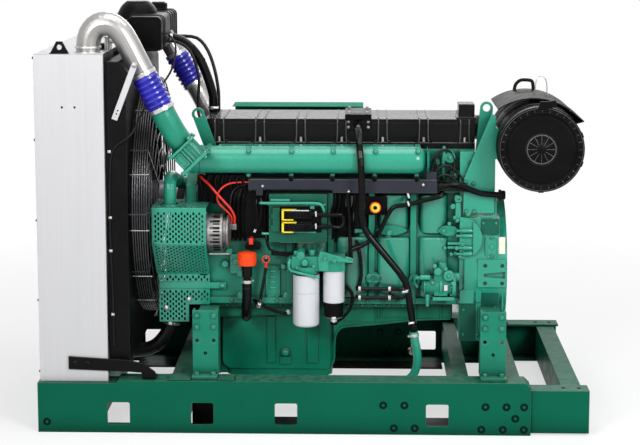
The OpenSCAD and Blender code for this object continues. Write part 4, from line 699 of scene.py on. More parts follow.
# Expansion tank: raised frame on its near end, bands, filler cap
tank = {"x": (313, 451), "nearY": -200, "z": (1440, 1576)}
(tx0, tx1), nearY, (tz0, tz1) = tank.values()
rim(tx0 + 1, tx1 - 1, tz0 + 1, tz1 - 1, 21, 8, 15, nearY - 4, 5)
for y in (-150, -100, 110, 180, 250, 310):
    rim(tx0 - 3, tx1 + 3, tz0 - 3, tz1 + 3, 24, 6, 19, y, 9)
wrapUp("expansion_tank_bands", "blackPlastic", bevel=1.2)
lathe((382, 270, 1576), "+z", [(0, 34), (26, 34), (33, 28), (33, 8), (38, 7), (38, 0), (0, 0)])
for spot in ringOf(382, 270, 33, 10):
    rod((*spot, 1585), (*spot, 1604), 3.5, sides=8)
wrapUp("expansion_tank_cap", "blackPlastic")
print("front end dressed")

# Far side: plain guard over the belts, black as painted shade, and vents round the alternator
box(426, 300, 286, 560, 303, 846)
box(430, 236, 843, 544, 303, 846)
box(538, 232, 500, 545.5, 303, 520)
box(538, 232, 760, 545.5, 303, 780)
wrapUp("far_belt_guard_painted_shade", "blackPaint", bevel=1)
for spot in ringOf(-323, 741, 71, 30):
    for low, high in ((566, 600), (664, 690)):
        rod((low, *spot), (high, *spot), 3.2, sides=8)
wrapUp("alternator_vents", "blackPlastic")
box(600, -336, 668, 640, -306, 682)
box(604, -338, 800, 636, -312, 822)
lathe((722, -323, 741), "+x", [(0, 6), (40, 6), (58, 2), (66, -2), (66, -8), (0, -8)], 40)
box(648, -396, 664, 728, -382, 671)
wrapUp("alternator_lugs", "castSilver", bevel=2)

# Black plate beyond the fan, standing on the far rail: a dark sheet as painted shade
sheet([(330, 205), (588, 205), (588, 340), (380, 340), (330, 262)], 500, 3)
sheet([(330, 205), (588, 205), (588, 208), (330, 208)], 484, 19)
wrapUp("far_painted_shade_plate", "blackPaint", bevel=0.8)

# Control unit: tube over it, two plugs with their yellow levers, corrugated leads, rail below
tube([(850, -318, 856), (852, -322, 856), (950, -323, 856), (1062, -323, 856), (1084, -322, 848), (1094, -318, 826),
    (1094, -314, 812)], 5.5, sides=14)
tube([(850, -300, 731), (872, -304, 731), (909, -306, 731)], 5.5, sides=14)
box(921, -311, 697, 1054, -290, 714)
box(872, -316, 846, 1100, -311, 852)
box(926, -314, 736, 1062, -311.5, 742)
box(884, -318, 862, 960, -300, 872)
box(1040, -320, 833, 1056, -311, 845)
wrapUp("control_unit_rails", "smoothGreenPaintedLight", bevel=1)
# black sheet behind the plugs: painted shade
box(920, -313.5, 738, 1084, -311.5, 842)
for z in (763, 812):
    box(941, -338, z - 15, 1046, -312, z + 15)
    for k in range(7):
        box(955 + k * 13, -340.5, z - 12, 962 + k * 13, -337.5, z + 12)
    rod((1046, -326, z), (1060, -326, z), 10, sides=18)
wrapUp("control_unit_plugs", "blackPlastic", bevel=1)
for z in (763, 812):
    box(929, -343, z - 21, 938, -318, z + 21)
    for s, long in ((1, 987), (-1, 975)):
        box(929, -343, z + s * 19 - 2.5, long, -318, z + s * 19 + 2.5)
wrapUp("plug_levers", "yellow", bevel=1.5)
# white bar over the upper lever: a painted highlight
box(966, -345, 829, 1036, -342, 833)
wrapUp("plug_lever_painted_highlight", "filterWhite", bevel=0.8)
tube([(1060, -326, 812), (1090, -326, 812), (1130, -322, 809), (1152, -318, 811), (1166, -314, 806),
    (1170, -311, 790), (1170, -311, 780), (1166, -314, 766), (1152, -318, 760), (1130, -322, 763), (1090, -326, 764),
    (1060, -326, 763)], 8.5, step=5, ribbed=0.14, sides=14)
wrapUp("control_unit_leads", "shinyBlack", sharp=60)
for z in (812, 763.5):
    band((1062, -326, z), "+x", 6, 2.6, 4, 20)
    box(1059, -336, z + 6, 1065, -328, z + 14)
wrapUp("lead_ties", "filterWhite")
tube([(862, -300, 728), (868, -306, 712), (874, -302, 680), (884, -298, 664), (910, -296, 655), (950, -296, 652),
    (1002, -294, 649)], 5)
tube([(884, -292, 648), (920, -290, 646), (960, -290, 642), (1000, -290, 640)], 7, ribbed=0.1)
tube([(828, -262, 886), (826, -280, 846), (830, -284, 790), (822, -284, 742), (816, -282, 726)], 3, sides=8)
tube([(842, -262, 886), (846, -276, 846), (842, -280, 790), (832, -284, 752)], 3, sides=8)
tube([(812, -264, 455), (840, -276, 440), (880, -280, 420), (920, -280, 408), (950, -272, 402), (958, -262, 398)], 6,
    sides=10)
wrapUp("side_leads", "shinyBlack")
rod((818, -283, 733), (823, -284, 744), 5, sides=12)
rod((955, -268, 404), (948, -276, 410), 9, sides=14)
wrapUp("lead_plugs", "filterWhite")
boss(806, 700, -251, -300, 10, 8, sides=16)
box(798, -310, 688, 815, -292, 712)
wrapUp("side_sensor", "redCable", bevel=1.5)
box(782, -290, 664, 840, -251, 684)
rod((806, -284, 684), (806, -284, 692), 12)
wrapUp("side_sensor_foot", "blackPlastic", bevel=2)

# Cable duct: folded lip, screws, drop to the starting circuit
# lighter strip along the duct's top edge: painted highlight on the fold
box(800, -292, 943, 1534, -288, 946.5)
wrapUp("cable_duct_painted_edge_highlight", "paintedHighlightGrey", bevel=1)
for x in (964, 1126, 1291, 1456):
    lathe((x, -288, 948), "-y", [(0, 4), (9, 4), (11, 2.5), (11, 0), (0, 0)], 28)
wrapUp("cable_duct_scoops", "blackPlastic")
box(1128, -292, 892, 1536, -289, 896)
box(826, -288, 880, 852, -252, 906)
box(1494, -286, 940, 1534, -262, 974)
wrapUp("cable_duct_folds", "slatePlastic", bevel=1)
bolts("cable_duct_screws", "zinc", [("-y", 9, [(852, -290, 918), (1190, -290, 898), (1482, -290, 926)])])
for i in range(5):
    tube([(1535, -266 - 4 * i, 938 - 9 * i), (1580, -274 - 3 * i, 936 - 8 * i), (1640, -288 - 2 * i, 924 - 5 * i),
        (1700, -296, 900 - 2 * i)], 3.4, sides=8)
tube([(1550, -262, 900), (1555, -290, 884), (1490, -298, 866), (1419, -300, 848), (1369, -300, 839),
    (1340, -298, 800), (1308, -296, 734), (1255, -292, 690), (1202, -286, 665)], 9, sides=14)
tube([(792, -274, 922), (760, -276, 916), (736, -282, 896), (726, -290, 860), (724, -298, 824)], 4.5, sides=10)
tube([(1186, -286, 890), (1192, -292, 800), (1196, -292, 700), (1200, -290, 610)], 8)
tube([(1220, -280, 700), (1236, -292, 640), (1240, -292, 560), (1226, -286, 500)], 7)
wrapUp("loose_harness", "shinyBlack")
lathe((1776, -298, 888), "+x", [(0, 26), (15, 26), (18, 22), (18, 10), (22, 8), (22, 0), (0, 0)], 28)
wrapUp("loom_connector", "blackPlastic")
for z in (852, 884):
    band((1424, -300, z), (1, 0.1, 0.3), 9, 2, 3.5, 18)
wrapUp("harness_ties", "filterWhite")
knobX, knobZ = 1294, 836
boss(knobX, knobZ, -251, -296, 14, sides=20)
lathe((knobX, -296, knobZ), "-y", [(7, 0), (21, 0), (23, 3), (22, 7), (19, 8), (7, 8)])
wrapUp("side_knob_rim", "orange")
lathe((knobX, -304, knobZ), "-y", [(7, -3), (18.5, -3), (18.5, 1), (15, 2.6), (9, 2), (7, 0)])
wrapUp("side_knob_face", "yellow")
lathe((knobX, -305, knobZ), "-y", [(0, 2.6), (5.5, 2.6), (7.5, 0.5), (7.5, -6), (0, -6)], 24)
wrapUp("side_knob_hole", "blackPlastic")
box(1246, -268, 800, 1340, -250.5, 876)
box(1210, -262, 742, 1262, -250.5, 900)
wrapUp("starting_relay", "blackPlastic", bevel=5)
print("electrics made")

# Filters: rolled rims, a groove, gaskets, head bosses and the thin lever
oilFilter, fuelFilter = (1024, -330), (1133, -325)
for (x, y), r, levels in ((oilFilter, 52, (571, 506)), (fuelFilter, 42, (586,))):
    for i, z in enumerate(levels):
        high = 6 if i == 0 else 1.2
        lathe((x, y, z), "+z", [(r - 0.5, 0), (r + 0.9, 0.8), (r + 0.9, high), (r - 0.5, high + 0.8)], 56)
wrapUp("filter_rims", "filterWhite")
lathe((*oilFilter, 578), "+z", [(46, 0), (50.5, 0), (50.5, 3), (46, 3)], 48)
lathe((*fuelFilter, 591), "+z", [(36, 0), (41, 0), (41, 3), (36, 3)], 48)
lathe((*fuelFilter, 405), "+z", [(35, 0), (37.5, 2), (37.5, 58), (35, 60)], 48)
lathe((*fuelFilter, 381), "-z", [(12, -4), (15, -2), (15, 8), (9, 11), (0, 11), (0, -4)], 24)
tube([(1180, -290, 520), (1206, -292, 480), (1196, -300, 430), (1166, -310, 394), (1133, -322, 376)], 6, sides=10)
wrapUp("filter_gaskets", "blackPlastic")
box(1126, -366, 404, 1142, -361, 412)
box(1131, -367, 390, 1137, -361, 406)
wrapUp("fuel_bowl_tag", "filterWhite", bevel=0.8)
rod((1004, -300, 662), (1004, -362, 652), 17, sides=24)
rod((966, -300, 625), (966, -352, 622), 20, 15, sides=24)
boss(1020, 628, -361, -372, 13)
rod((1048, -330, 650), (1048, -330, 672), 14, sides=20)
rod((985, -330, 648), (985, -330, 668), 10)
tube([(962, -340, 640), (958, -350, 622), (960, -352, 600), (972, -354, 592)], 6)
tube([(1160, -330, 636), (1185, -336, 640), (1208, -340, 632)], 8)
outline = [(1074, 596), (1150, 594), (1156, 632), (1208, 627), (1210, 633), (1158, 652), (1080, 674), (1070, 640)]
sheet(outline, -366, 18)
wrapUp("filter_head_castings", "smoothGreenPaintedLight", bevel=2.5)
tube([(966, -366, 596), (1010, -385, 589), (1078, -388, 574)], 5)
wrapUp("filter_lever", "smoothGreenPaintedLight")
bolts("filter_head_bolts", "smoothGreenPaintedLight", [("-y", 13, [(990, -361, 606), (1055, -361, 612), (1100, -385, 650),
    (1136, -385, 640)])])

# Oil filling cap with its grip, clamps, dipstick ring
filler = (792, -330)
lathe((*filler, 658), "+z", [(0, 5), (20, 4.5), (30, 2), (35, -4), (0, -4)], 36)
box(761, -334, 656, 823, -326, 661.5)
for spot in ringOf(*filler, 35.4):
    rod((*spot, 618), (*spot, 648), 1.8, sides=8)
wrapUp("oil_cap_grip", "orange", bevel=1.5)
# black boards and leads on the block behind the control unit: the boards are dark sheets put in as painted shade
box(702, -257, 704, 876, -250.4, 892)
box(1108, -257, 700, 1232, -250.4, 892)
box(876, -262, 868, 1110, -250.4, 892)
box(594, -262, 852, 792, -250.4, 958)
for x in (604, 632, 662, 690, 720, 748, 774):
    tube([(x + 6, -258, 958), (x, -270, 930), (x + 8, -268, 890), (x - 4, -260, 846)], 7)
for x in (716, 734, 752, 770, 860):
    tube([(x + 14, -262, 902), (x + 4, -272, 860), (x, -266, 800), (x + 2, -264, 730), (x + 10, -256, 694)], 6)
for x in (1130, 1148, 1184, 1206):
    tube([(x, -262, 902), (x + 8, -270, 860), (x - 4, -268, 800), (x + 2, -264, 740), (x - 8, -256, 690)], 7)
wrapUp("wiring_boards_painted_shade", "blackPlastic", bevel=1.5)
lathe((*filler, 560), "+z", [(14, 0), (20, 4), (20, 48), (24, 50), (24, 54), (14, 54)])
lathe((791, -329, 500), "+z", [(14, 0), (19, 3), (19, 40), (14, 42)])
tube([(*filler, 520), (791, -329, 490), (790, -328, 470), (787, -314, 418), (785, -290, 394), (785, -262, 390)], 19,
    sides=28)
wrapUp("oil_filler_neck", "shinyBlack")
clamp((*filler, 545), "+z", 19.5, 12, 3.9)
wrapUp("oil_filler_clamp", "zinc")
tube([(865 + c, -308, 629 + s) for c, s in circle(20, 14) + [(14, 0)]], 3, rounded=False, sides=10)
rod((865, -300, 596), (865, -304, 616), 7, 5)
wrapUp("dipstick_ring", "redCable")
boss(834, 431, -266, -239, 10, sides=6)
rod((836, -274, 434), (838, -290, 446), 9, 7)
wrapUp("dipstick_fitting", "zinc")
tube([(865, -300, 630), (864, -300, 590), (848, -298, 500), (840, -288, 456)], 6.2)
wrapUp("dipstick_sleeve", "rubber")
print("filters and fillers made")

# Cylinder block and sump: flange bolts, plugs, embossed cover, clamps on the fuel pipes
bolts("block_row_bolts", "enginePaint", [("-y", 13, [(x, -264, 453) for x in range(726, 1627, 60)]),
    ("+y", 13, [(x, 264, 453) for x in range(726, 1627, 60)]),
    ("-y", 12, [(x, -239, 431) for x in range(650, 1456, 54) if not 820 < x < 850]),
    ("+y", 12, [(x, 238, 431) for x in range(650, 1456, 54)]),
    ("-y", 15, [(1266, -264, 545), (1310, -264, 545), (1350, -252, 729)]),
    ("-y", 12, [(872, -259, 584), (908, -259, 584), (872, -259, 470), (908, -259, 470)]),
    ("-y", 24, [(935, -190, 222)])])
for z in (500, 522, 544, 566):
    box(876, -261, z, 904, -258, z + 8)
sheet(roundedLoop(1258, 1318, 528, 562, 15), -267, 5, [ringOf(1288, 545, 13, 20)])
boss(1350, 729, -251, -270, 15, 11, sides=20)
rod((1340, -251, 712), (1356, -262, 704), 12)
for x, z in ((760, 560), (760, 470), (742, 610), (716, 650), (700, 600)):
    boss(x, z, -249, -268, 17, 13, sides=20)
box(720, -262, 560, 764, -249, 640)
box(986, -258, 460, 1010, -249, 700)
boss(945, 470, -249, -262, 18, 15)
boss(931, 590, -249, -266, 12, 10, sides=20)
box(1610, -262, 770, 1624, -226, 880)
boss(1617, 871, -250, -266, 11, sides=20)
wrapUp("block_bosses", "smoothGreenPaintedLight", bevel=2)
for x in (1352, 1234):
    for z in (511, 476):
        band((x, -300, z), "+x", 8, 2.8, 5, 20)
wrapUp("fuel_pipe_clips", "zinc")
box(1348, -303, 476, 1356, -300, 511)
box(1348, -300, 490, 1356, -251, 497)
wrapUp("fuel_pipe_bracket", "blackPaint")
for spot, way, r in (((1419, -364.5, 521), (0.18, 0.06, -1), 13.9), ((1441, -353.5, 394), (0.16, 0.1, -1), 13.9),
        ((1449, -349, 338), (0.1, 0, -1), 17)):
    clamp(spot, way, r, 12, 3.8)
wrapUp("breather_clamps", "zinc")
tube([(1447, -350, 352), (1451, -349, 320), (1459, -346, 280), (1463, -342, 240), (1459, -336, 205),
    (1448, -328, 172), (1430, -318, 150)], 17, sides=24)
wrapUp("breather_outlet", "smoothGreenPaintedLight")

# Fuel pump and what sits round it
pump = (-304, 527)  # its axis, across and up
lathe((1492, *pump), "-x", [(0, 14), (16, 14), (22, 8), (38, 6), (38, 0), (0, 0)])
lathe((1546, *pump), "+x", [(38, 0), (43, 2), (43, 12), (38, 14)], 40)
lathe((1596, *pump), "+x", [(38, 0), (46, 0), (46, 14), (38, 14)], 40)
boss(1582, 575, -338, -352, 22, 20, sides=28)
boss(1540, 590, -330, -346, 15, sides=20)
rod((1560, -300, 590), (1560, -300, 618), 20, 15, sides=24)
rod((1510, -336, 566), (1470, -336, 566), 10)
rod((1500, -342, 500), (1500, -342, 470), 10, 8)
rod((1500, -342, 470), (1500, -342, 452), 7, sides=14)
box(1520, -342, 474, 1606, -300, 488)
rod((1600, -300, 560), (1626, -300, 560), 18, sides=24)
tube([(1470, -336, 566), (1452, -330, 560), (1450, -316, 540), (1462, -310, 522)], 6)
wrapUp("fuel_pump_castings", "smoothGreenPaintedLight", bevel=2)
bolts("fuel_pump_bolts", "smoothGreenPaintedLight", [("-y", 14, [(1520, -338, 545), (1570, -338, 600), (1528, -338, 612),
    (1596, -338, 545)]), ("-x", 12, [(1596, pump[0] + 41 * math.cos(t), pump[1] + 41 * math.sin(t))
    for t in (2.2, 3.1, 4.0, 5.0)]), ("-y", 13, [(1582, -352, 575)])])
box(1564, -346, 515, 1578, -344, 538)
wrapUp("fuel_pump_tag", "filterWhite")
print("block and pump dressed")

# Rear of the block, gear case and housing: studs, ribs, covers, the flywheel's ring gear
for x, z, r, out in ((1640, 741, 10, 16), (1668, 742, 10, 16), (1640, 721, 9, 12), (1616, 672, 10, 22),
        (1640, 686, 9, 14), (1668, 650, 11, 18), (1612, 648, 9, 12), (1660, 810, 12, 14), (1600, 836, 12, 8)):
    boss(x, z, -249, -262 - out, r, r * 0.85, sides=20)
for z in (672, 688):
    box(1580, -272, z - 5, 1634, -250, z + 5)
box(1690, -264.5, 640, 1696, -262, 780)
for x0, x1, z in ((1640, 1780, 600), (1640, 1690, 480), (1640, 1690, 960)):
    box(x0, -266 if x0 > 1690 else -254, z - 5, x1, -249, z + 5)
rim(1698, 1772, 790, 880, 20, 8, 14, -262.5, 3)
rim(1729, 1782, 629, 720, 20, 7, 15, -270, 3.2)
boss(1755, 675, -266, -271, 10)
box(1630, -270, 446, 1686, -249, 500)
box(1694, -268, 452, 1716, -262, 560)
for turn in range(100, 269, 28):
    x, z = turnedTo((1632, 710), turn, 74)
    boss(x, z, -264, -277, 8, 7, sides=14)
for x in (1698, 1800):
    box(x - 3, -266, 300, x + 3, -262, 500)
for s in both:
    for z in (348, 420, 792, 880):
        box(1650, s * 250 - 3, z - 4, 1690, s * 250 + 3, z + 4)
for z in (741, 721, 672, 648):
    rod((1614, -278, z), (1644, -278, z), 5)
    rod((1614, -278, z), (1620, -278, z), 7, sides=6)
    lathe((1640, -276, z), "+x", [(0, 0), (8, 0), (9, 4), (9, 24), (6, 38), (0, 40)], 20)
wrapUp("gear_case_castings", "smoothGreenPaintedLight", bevel=1.5)
# the lower covers take the darker green as painted shade
for side in both:
    sheet([(1629, 296), (1696, 296), (1696, 452), (1664, 470), (1629, 470)], side * 264 - 2, 4)
    sheet(roundedLoop(1716, 1785, 412, 508, 6), side * 263 - 2, 4)
    sheet(roundedLoop(1712, 1784, 724, 788, 6), side * 263 - 2, 4)
wrapUp("gear_case_lower_cover", "paintedShadeGreen", bevel=1)
caseBolts = [(1646, 320), (1646, 420), (1646, 500), (1705, 320), (1770, 330), (1770, 430), (1770, 520), (1720, 770),
    (1770, 770)]
bolts("gear_case_bolts", "enginePaint", [("-y", 12, [(1755, -267, 712), (1755, -267, 638), (1664, -250, 1010),
    (1664, -250, 945), (1664, -250, 880)]), ("-y", 14, [(1652, -274, 818), (1683, -274, 818), (1648, -274, 936),
    (1679, -274, 929)]), ("-y", 13, [(x, -262, z) for x, z in caseBolts]),
    ("+y", 13, [(x, 262, z) for x, z in caseBolts]), ("+y", 12, [(1664, 250, z) for z in (840, 900, 960, 1020)])])
sheet([(1610, 780), (1632, 780), (1630, 850), (1612, 850)], -268, 6)
lathe((1621, -262, 866), "-y", [(6, 0), (14, 0), (14, 7), (6, 7)], 24)
boss(1608, 792, -262, -272, 8, 7, sides=16)
wrapUp("gear_case_bracket", "smoothGreenPaintedLight")
box(1781, -264.4, 632, 1808, -262.1, 714)
wrapUp("plain_plate", "cream", bevel=0.8)
for spot in ringOf(0, crankZ, 228, 126):
    rod((1748, *spot), (1762, *spot), 3.4, sides=6)
wrapUp("ring_gear_teeth", "steel")
bolts("flywheel_bolts", "steel", [("+x", 22, [(1779, *spot) for spot in ringOf(0, crankZ, 62, 8)])])

# Head and cover: rail along the cover's foot, bolts between the ribs, breather flange, rear castings
cover = {"first": 672, "pitch": 163, "count": 7}
ribs = [cover["first"] + i * cover["pitch"] for i in range(cover["count"])]
bolts("valve_cover_bolts", "glossBlack", [("+z", 15, [(x + d, s * 158, 1075) for x in ribs for s in both
    for d in (-28, 28) if 620 < x + d < 1688])])
for s in both:
    box(618, s * 157 - 6.5, 1051.5, 1690, s * 157 + 6.5, 1056)
    box(640, s * 150 - 1.5, 1148, 1668, s * 150 + 1.5, 1151)
for x in ribs:
    for d in (-17, 17):
        box(x + d - 3, -140, 1167, x + d + 3, 140, 1170)
wrapUp("valve_cover_seams", "glossBlack", bevel=1)
sheet(roundedLoop(1174, 1279, 1124, 1170, 12), -158, 8, [ringOf(1226, 1147, 12, 20)])
box(1180, -152, 1166, 1274, -148, 1190)
lathe((1226, -158, 1148), "-y", [(13.6, 0), (19, 0), (19, 10), (16, 14), (13.6, 14)], 28)
wrapUp("breather_flange", "shinyBlack", bevel=1)
bolts("breather_bolts", "greyWireAndPaintedHighlight", [("-y", 11, [(1188, -158, 1157), (1266, -158, 1157), (1188, -158, 1135),
    (1266, -158, 1135)]), ("+z", 14, [(1190, -150, 1189), (1262, -150, 1189), (1190, 20, 1189), (1262, 20, 1189)])])
box(1626, -138, 1167, 1690, -40, 1226)
box(1618, -142, 1167, 1696, -36, 1174)
wrapUp("valve_cover_fittings", "glossBlack", bevel=4)
# thin rods on the ribs' edges and along the cover's foot: painted highlight lines
for x in ribs:
    for side in both:
        for d in (-17, 17):
            tube([(x + d, side * 152, 1166), (x + d, side * 160.5, 1158), (x + d * 1.04, side * 161, 1100),
                (x + d * 1.15, side * 161, 1078)], 2.6, sides=10)
for side in both:
    wire((620, side * 163.5, 1074), (1688, side * 163.5, 1074), 2)
wrapUp("valve_cover_painted_edge_highlights", "paintedHighlightGrey")
# grey studs on the black cover: painted highlights
for x in ribs:
    for side in both:
        rod((x, side * 161, 1076), (x, side * 161, 1096), 6.5, 5.5)
wrapUp("valve_cover_studs", "greyWireAndPaintedHighlight")

# Inlet elbow: the ribbed block between its two flanges, turned to lie along the pipe
elbow = {"at": (572, -372, 1061), "turn": 47}
for corners in ((-40, -90, -58, -30, 50, 58), (36, -90, -62, 48, 50, 62), (-32, -80, -46, 38, 44, 46),
        (-30, -89, 10, 36, -80, 16), (-30, -89, -3, 36, -80, 3), (-26, -87, -42, 32, -80, -37),
        (-26, -87, -14, 32, -80, -9), (-26, -87, -42, -21, -80, -9), (27, -87, -42, 32, -80, -9),
        (-30, -86, 26, 36, -80, 30), (-30, -86, 40, 36, -80, 46)):
    box(*corners)
for z in (-50, 50):
    for y in (-78, 40):
        for x in (-44.5, 52.5):
            bmesh.ops.create_cone(shape, cap_ends=True, segments=6, radius1=0.0085, radius2=0.0075, depth=0.009,
                matrix=Matrix.Translation(place(x, y, z)) @ Matrix.Rotation(math.pi / 2, 4, "Y"))
elbowTurn = Matrix.Rotation(math.radians(elbow["turn"]), 4, "Y")
shape.transform(Matrix.Translation(place(*elbow["at"])) @ elbowTurn @ Matrix.Translation(-place(0, 0, 0)))
wrapUp("elbow_block", "smoothGreenPaintedLight", bevel=2)
rod((568, -390, 1100), (578, -396, 1112), 7, 6, sides=14)
wrapUp("elbow_sensor", "orange")

# Inlet manifold: bolt bosses above and below, elbow flange
tops = (641, 800, 968, 1130, 1295, 1460)
for x in tops:
    boss(x, 1062, -236, -322, 12, 10)
    box(x - 10, -300, 1062, x + 10, -216, 1076)
    if x > 700:
        boss(x - 4, 960, -196, -270, 11, 10)
        box(x - 14, -250, 960, x + 6, -200, 992)
for x in (722, 884, 1049, 1212, 1377):
    sheet(roundedLoop(x - 44, x + 44, 985, 1062, 14), -232, 14)
lathe((1501, -276, 1022), "+x", [(0, 6), (30, 5), (44, 1), (54, -5), (0, -5)], 40)
band((612, -276, 1022), "+x", 54, 3, 4, 48, 1)
wrapUp("manifold_bosses", "smoothGreenPaintedLight", bevel=2)
bolts("manifold_bolts", "smoothGreenPaintedLight", [("-y", 15, [(x, -322, 1062) for x in tops] + [(x - 4, -270, 960)
    for x in tops[1:]])])
for i in range(3):
    box(1586 - 30 * i, -236, 1026 - 12 * i, 1598 - 30 * i, -186, 1042 - 12 * i)
boss(1588, 1026, -186, -240, 26, 22, sides=32)
boss(1606, 958, -186, -236, 20, 17, sides=28)
boss(1540, 1000, -186, -226, 18, 15, sides=28)
box(1538, -214, 925, 1642, -186, 946)
tube([(1566, -200, 1060), (1566, -228, 1050), (1562, -236, 1010), (1562, -232, 960), (1566, -214, 930)], 8, sides=14)
wrapUp("head_rear_castings", "enginePaint", bevel=2.5)
bolts("head_rear_bolts", "enginePaint", [("-y", 15, [(1588, -240, 1026), (1606, -236, 958), (1540, -226, 1000)])])
tube([(1500, -262, 940), (1512, -262, 968), (1524, -256, 1004), (1540, -250, 1046), (1572, -240, 1058),
    (1600, -236, 1034), (1606, -240, 990), (1592, -254, 950), (1584, -266, 930)], 5, sides=10)
tube([(1518, -264, 940), (1532, -262, 972), (1552, -256, 992), (1580, -250, 996), (1620, -246, 970),
    (1640, -252, 936), (1660, -276, 910)], 5, sides=10)
tube([(1526, -270, 936), (1546, -276, 958), (1580, -272, 962), (1610, -272, 940), (1640, -284, 914)], 4, sides=10)
wrapUp("rear_loops", "rubber")
print("rear dressed")

# Air filter: ribbed face with a domed middle, clip, wire loop, bands, hood edge
filterX, filterZ = filterAt = (1926, 1087)
lathe((filterX, -423, filterZ), "-y", [(60, 0), (126, 0), (128, 3), (62, 3)], 64)
for r in (150, 143):
    lathe((filterX, -430.5, filterZ), "-y", [(r - 2, -1), (r + 1.5, -1), (r + 1, 1.5), (r - 1.5, 1.5)], 72)
lathe((filterX, -422, filterZ), "-y", [(0, 10), (14, 10), (18, 8), (50, 4), (60, 5), (62, 0), (0, 0)], 56)
wrapUp("air_filter_face", "blackPlastic")
# the ribs and rings take the lighter grey as a painted highlight
for count, r0, y0, thin, r1, y1, thick in ((12, 6, -430.5, 0.8, 52, -427, 1.4),
        (32, 141, -430.5, 1.2, 153, -431, 1.6)):
    for c, s in circle(count):
        rod((filterX + r0 * c, y0, filterZ + r0 * s), (filterX + r1 * c, y1, filterZ + r1 * s), thin, thick, sides=6)
lathe((filterX, -429, filterZ), "-y", [(157.5, 0), (159.5, 0), (159.5, 3), (157.5, 3)], 72)
lathe((filterX, -426, filterZ), "-y", [(53, 0), (57, 0), (57, 3), (53, 3)], 56)
wrapUp("air_filter_sunburst", "paintedHighlightGrey")
outline = [(1910, 1243), (1946, 1243), (1982, 1252), (1976, 1278), (1950, 1272), (1918, 1272)]
sheet(outline, -434, 10)
for turn in (20, 160, 200, 340, 270):
    x, z = turnedTo(filterAt, turn, 163)
    side = Matrix.Rotation(-math.radians(turn), 4, "Y")
    clipPart = bmesh.new()
    bmesh.ops.create_cube(clipPart, size=1, matrix=Matrix.Diagonal((0.008, 0.034, 0.020, 1)))
    addCopy(clipPart, Matrix.Translation(place(x, -414, z)) @ side)
wrapUp("air_filter_clips", "blackPlastic", bevel=1.2)
for y in (-340, -180, -20):
    band((filterX, y, filterZ), "+y", 164, 2.5, 14, 72, 1)
for y in (-385, -260, -230, -100):
    band((filterX, y, filterZ), "+y", 163.5, 2.5, 3, 72, 1)
wrapUp("air_filter_bands", "blackPlastic")
tube([(1926, -118, 1262), (1930, -124, 1290), (1934, -126, 1322), (1944, -126, 1338), (1958, -126, 1338),
    (1970, -126, 1326), (1976, -124, 1304), (1978, -118, 1262)], 2.2)
wrapUp("rain_hood_wire", "zinc")
crescent = [turnedTo((1907, 1027), turn, 238) for turn in range(38, 79, 5)]
crescent += [turnedTo(filterAt, turn, 160) for turn in range(78, 27, -5)]
sheet(crescent, 20, 4)
wrapUp("rain_hood_stay", "blackPaint")
print("air filter dressed")

# Cylinder block: swelling walls between the ribs; rear tray of the sump
for low, high in ((977, 1108), (1140, 1270), (1303, 1434), (1467, 1582)):
    for side in both:
        for wall, z0, z1, swell in ((226, 722, 882, 34), (250, 470, 712, 28)):
            centre = place((low + high) / 2, side * wall, (z0 + z1) / 2)
            squash = Matrix.Diagonal(((high - low) / 2000, swell / 1000, (z1 - z0) / 1000, 1))
            bmesh.ops.create_cone(shape, cap_ends=True, segments=48, radius1=1, radius2=1, depth=1,
                matrix=Matrix.Translation(centre) @ squash)
wrapUp("block_bays", "bayGreen", bevel=7)
outline = [(1130, 424), (1130, 262), (1136, 292), (1150, 316), (1178, 331), (1303, 343), (1466, 361), (1600, 366),
    (1606, 372), (1606, 424)]
sheet(outline, -196.8, 393.6)
for x0, x1, z in ((1172, 1300, 352), (1320, 1450, 368)):
    rim(x0, x1, z, 418, 8, 6, 6, -199, 4)
for x in (1160, 1310, 1460, 1560):
    box(x - 4, -201, 366, x + 4, -195, 424)
wrapUp("sump_rear_tray", "sumpPaintedShadeGreen", bevel=2)
sheet(roundedLoop(696, 1124, -172, 172, 34), 122, 29, flat="xy")
sheet(roundedLoop(706, 1114, -162, 162, 28), 117, 6, flat="xy")
wrapUp("sump_floor", "sumpPaintedShadeGreen", bevel=4)
# the sump's front takes the darker green as painted shade
box(606, -160, 126, 700, 160, 441)
for x in (612, 640, 668):
    box(x - 5, -168, 126, x + 5, 168, 441)
wrapUp("sump_front_casting", "paintedShadeGreen", bevel=3)
for side in both:
    tube([(1122, side * 184, 168), (1132, side * 190, 200), (1134, side * 196, 262), (1138, side * 198, 296),
        (1152, side * 198, 318), (1178, side * 198, 331), (1303, side * 198, 343), (1466, side * 198, 361),
        (1600, side * 198, 366)], 4, sides=10)
wrapUp("sump_rim", "sumpPaintedShadeGreen")
print("block bays made")

# Exhaust side: manifold clamps, turbocharger casings, shield and duct fixings, starter
turbo, starter = (385, 1010), (318, 480)  # their axes, across and up
ports = [712 + 163 * i for i in range(6)]
for x in ports:
    lathe((x, 252, 957), "+x", [(37, -34), (44, -31), (44, -24), (37, -21)], 36)
    for z in (935, 985):
        box(x - 30, 190, z - 12, x + 30, 206, z + 12)
wrapUp("exhaust_joints", "castIron", bevel=1.5)
bolts("exhaust_bolts", "zinc", [("+y", 15, [(x + d, 206, z) for x in ports for d in (-19, 19) for z in (935, 985)])])
lathe((936, *turbo), "+x", [(84, -32), (89, -28), (89, -20), (84, -16)], 48)
lathe((905, *turbo), "-x", [(0, 0), (66, 0), (62, 10), (50, 14), (40, 26), (0, 26)], 48)
band((1000, *turbo), "+x", 45, 5, 10, 40, 2)
wrapUp("turbine_casing", "castIron")
lathe((1042, *turbo), "+x", [(88, -2), (93, 2), (93, 12), (88, 16)], 56)
lathe((1113, *turbo), "+x", [(56, -6), (70, -4), (66, 6), (56, 10)], 48)
wrapUp("compressor_casing", "castSilver")
bolts("turbocharger_bolts", "zinc", [("+x", 12, [(971, *spot) for spot in ringOf(*turbo, 66, 8)])])
